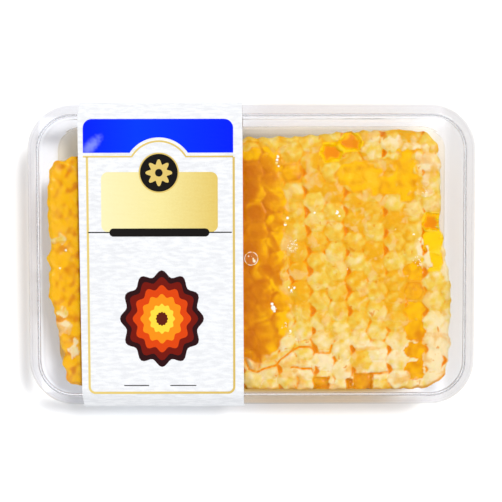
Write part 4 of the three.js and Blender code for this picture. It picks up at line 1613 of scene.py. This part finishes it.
    def build(self) -> None:
        """Builds and dresses all printed shapes."""
        blue, gold, cream, black = (ink.build() for ink in (self.blue, self.gold, self.cream, self.black))
        (left, right), corner, steps = self.field_x, self.field_corner, self.corner_steps
        top = self.field_y[1] - corner
        self.print_shape("print_field", self.arched(0.0) + arc(right - corner, top, corner, 0, 1, steps)
                         + arc(left + corner, top, corner, 1, 2, steps), 1, blue)
        self.print_line("print_field_line", self.arched(self.edge_drop), self.edge_width, gold)
        feet = [point for foot_x, turn in zip(self.frame_foot_x, (2, -1))
                for point in arc(foot_x, self.frame_foot_y, self.frame_corner, turn, turn + 1, steps)]
        ends = [(frame_x, self.frame_top) for frame_x in self.frame_x]
        self.print_line("print_frame", [ends[0], *feet, ends[1]], self.frame_width, gold)
        self.print_shape("print_plate", self.rounded(*self.plate, self.plate_corner), 1, cream)
        self.print_shape("print_bar", self.rounded(*self.bar, self.bar_corner), 2, black)
        self.print_line("print_rule", self.rule, self.rule_width, black)
        medal = self.arch[:2]
        self.print_shape("print_medal_ring", self.disc(*medal, self.medal_radius), 2, gold)
        self.print_shape("print_medal", self.disc(*medal, self.medal_radius - self.medal_ring), 3, black)
        flower = self.disc(*medal, self.medal_flower, *self.medal_petals)
        self.print_shape("print_medal_flower", flower, 4, gold)
        self.print_shape("print_medal_heart", self.disc(*medal, self.medal_heart), 5, black)
        for index, (radius, colour) in enumerate(self.blossom_rings):
            finish = InkFinish(f"ink_blossom_{index}", ((-36.0, colour), (-12.0, colour))).build()
            petals = np.array(self.disc(0.0, 0.0, radius, *self.blossom_petals))
            outline = self.blossom + petals * self.blossom_stretch
            self.print_shape(f"print_blossom_{index}", outline, 1 + index, finish)
        for path in self.short_rules:
            self.print_line("print_short_rule", path, self.short_width, black)


# ---- studio -------------------------------------------------------------------------------------
@dataclass(frozen=True)
class Studio:
    """White floor, soft key light from the right and the back, and a camera straight above."""

    floor_size: float = 4.0
    sky: float = 0.72
    horizon: float = 0.96
    overhead: float = 0.54
    sky_tint: tuple = (0.95, 0.99, 1.05)
    sun: float = 1.62
    sun_angle: float = 8.0
    glint: float = 0.12
    glint_angle: float = 3.0
    sun_from: tuple = (0.25, 0.25, 1.0)
    eye: tuple = (-0.1, 26.9, 430.0)
    tilt: tuple = (-3.66, 0.0, -0.11)
    lens: float = 108.43
    sensor: float = 36.0
    clip: tuple = (0.01, 10.0)
    floor_tint: tuple = srgb(253, 253, 253)
    bounces: tuple = (("transparent_max_bounces", 64), ("transmission_bounces", 24), ("max_bounces", 24),
                      ("diffuse_bounces", 2))

    def build(self) -> None:
        """Builds the floor, the world, the light and the camera."""
        self.build_floor()
        self.build_world()
        self.build_light("key", self.sun, self.sun_angle).visible_glossy = False
        self.build_light("glint", self.glint, self.glint_angle)
        self.build_camera()
        bpy.context.scene.view_settings.view_transform = "Standard"
        for name, count in self.bounces:
            setattr(bpy.context.scene.cycles, name, count)

    def link(self, name: str, data: bpy.types.ID) -> Object:
        """Puts a light or a camera in the scene and returns it."""
        item = bpy.data.objects.new(name, data)
        bpy.context.collection.objects.link(item)
        return item

    def build_light(self, name: str, energy: float, angle: float) -> Object:
        """Returns a far light of a strength and a width in degrees, from the key's direction."""
        light = bpy.data.lights.new(name, "SUN")
        light.energy = energy
        light.angle = math.radians(angle)
        lamp = self.link(name, light)
        toward = np.array(self.sun_from) / np.linalg.norm(self.sun_from)
        lamp.rotation_euler = (math.acos(toward[2]), 0.0, math.atan2(toward[0], -toward[1]))
        return lamp

    def build_floor(self) -> None:
        """Builds the floor that the pack lies on."""
        floor = start_piece("floor", bpy.ops.mesh.primitive_plane_add, size=self.floor_size)
        kit = ShaderKit("floor_white")
        shader = kit.principled(base_color=self.floor_tint, roughness=0.9, specular_ior_level=0.0)
        floor.data.materials.append(kit.finish(shader))

    def build_world(self) -> None:
        """Builds a soft white sky that is darker straight overhead."""
        world = bpy.data.worlds.new("studio")
        bpy.context.scene.world = world
        world.use_nodes = True
        nodes, links = world.node_tree.nodes, world.node_tree.links
        place, split, ramp = (nodes.new("ShaderNode" + kind)
                              for kind in ("TexCoord", "SeparateXYZ", "ValToRGB"))
        links.new(place.outputs["Generated"], split.inputs[0])
        links.new(split.outputs["Z"], ramp.inputs[0])
        links.new(ramp.outputs[0], nodes["Background"].inputs[0])
        heights = ((0.0, self.horizon), (0.30, self.horizon), (0.46, self.sky), (0.86, self.sky),
                   (0.95, self.overhead), (1.0, self.overhead))
        set_stops(ramp, [(z, (*(value * share for share in self.sky_tint), 1.0)) for z, value in heights])

    def build_camera(self) -> None:
        """Builds the camera."""
        lens = bpy.data.cameras.new("camera")
        lens.lens = self.lens
        lens.sensor_width = self.sensor
        lens.sensor_fit = "HORIZONTAL"
        lens.clip_start, lens.clip_end = self.clip
        camera = self.link("camera", lens)
        camera.location = [value * MM for value in self.eye]
        camera.rotation_euler = [math.radians(value) for value in self.tilt]
        bpy.context.scene.camera = camera


def main() -> None:
    """Builds every part in order."""
    logging.basicConfig(level=logging.INFO, format="%(message)s")
    box = ClearBox()
    box.build()
    slab = CombSlab(box)
    slab.build()
    CombTrim(slab).build()
    HoneyPool(box).build()
    PaperSleeve().build()
    SleevePrint().build()
    Studio().build()


if __name__ == "__main__":
    main()
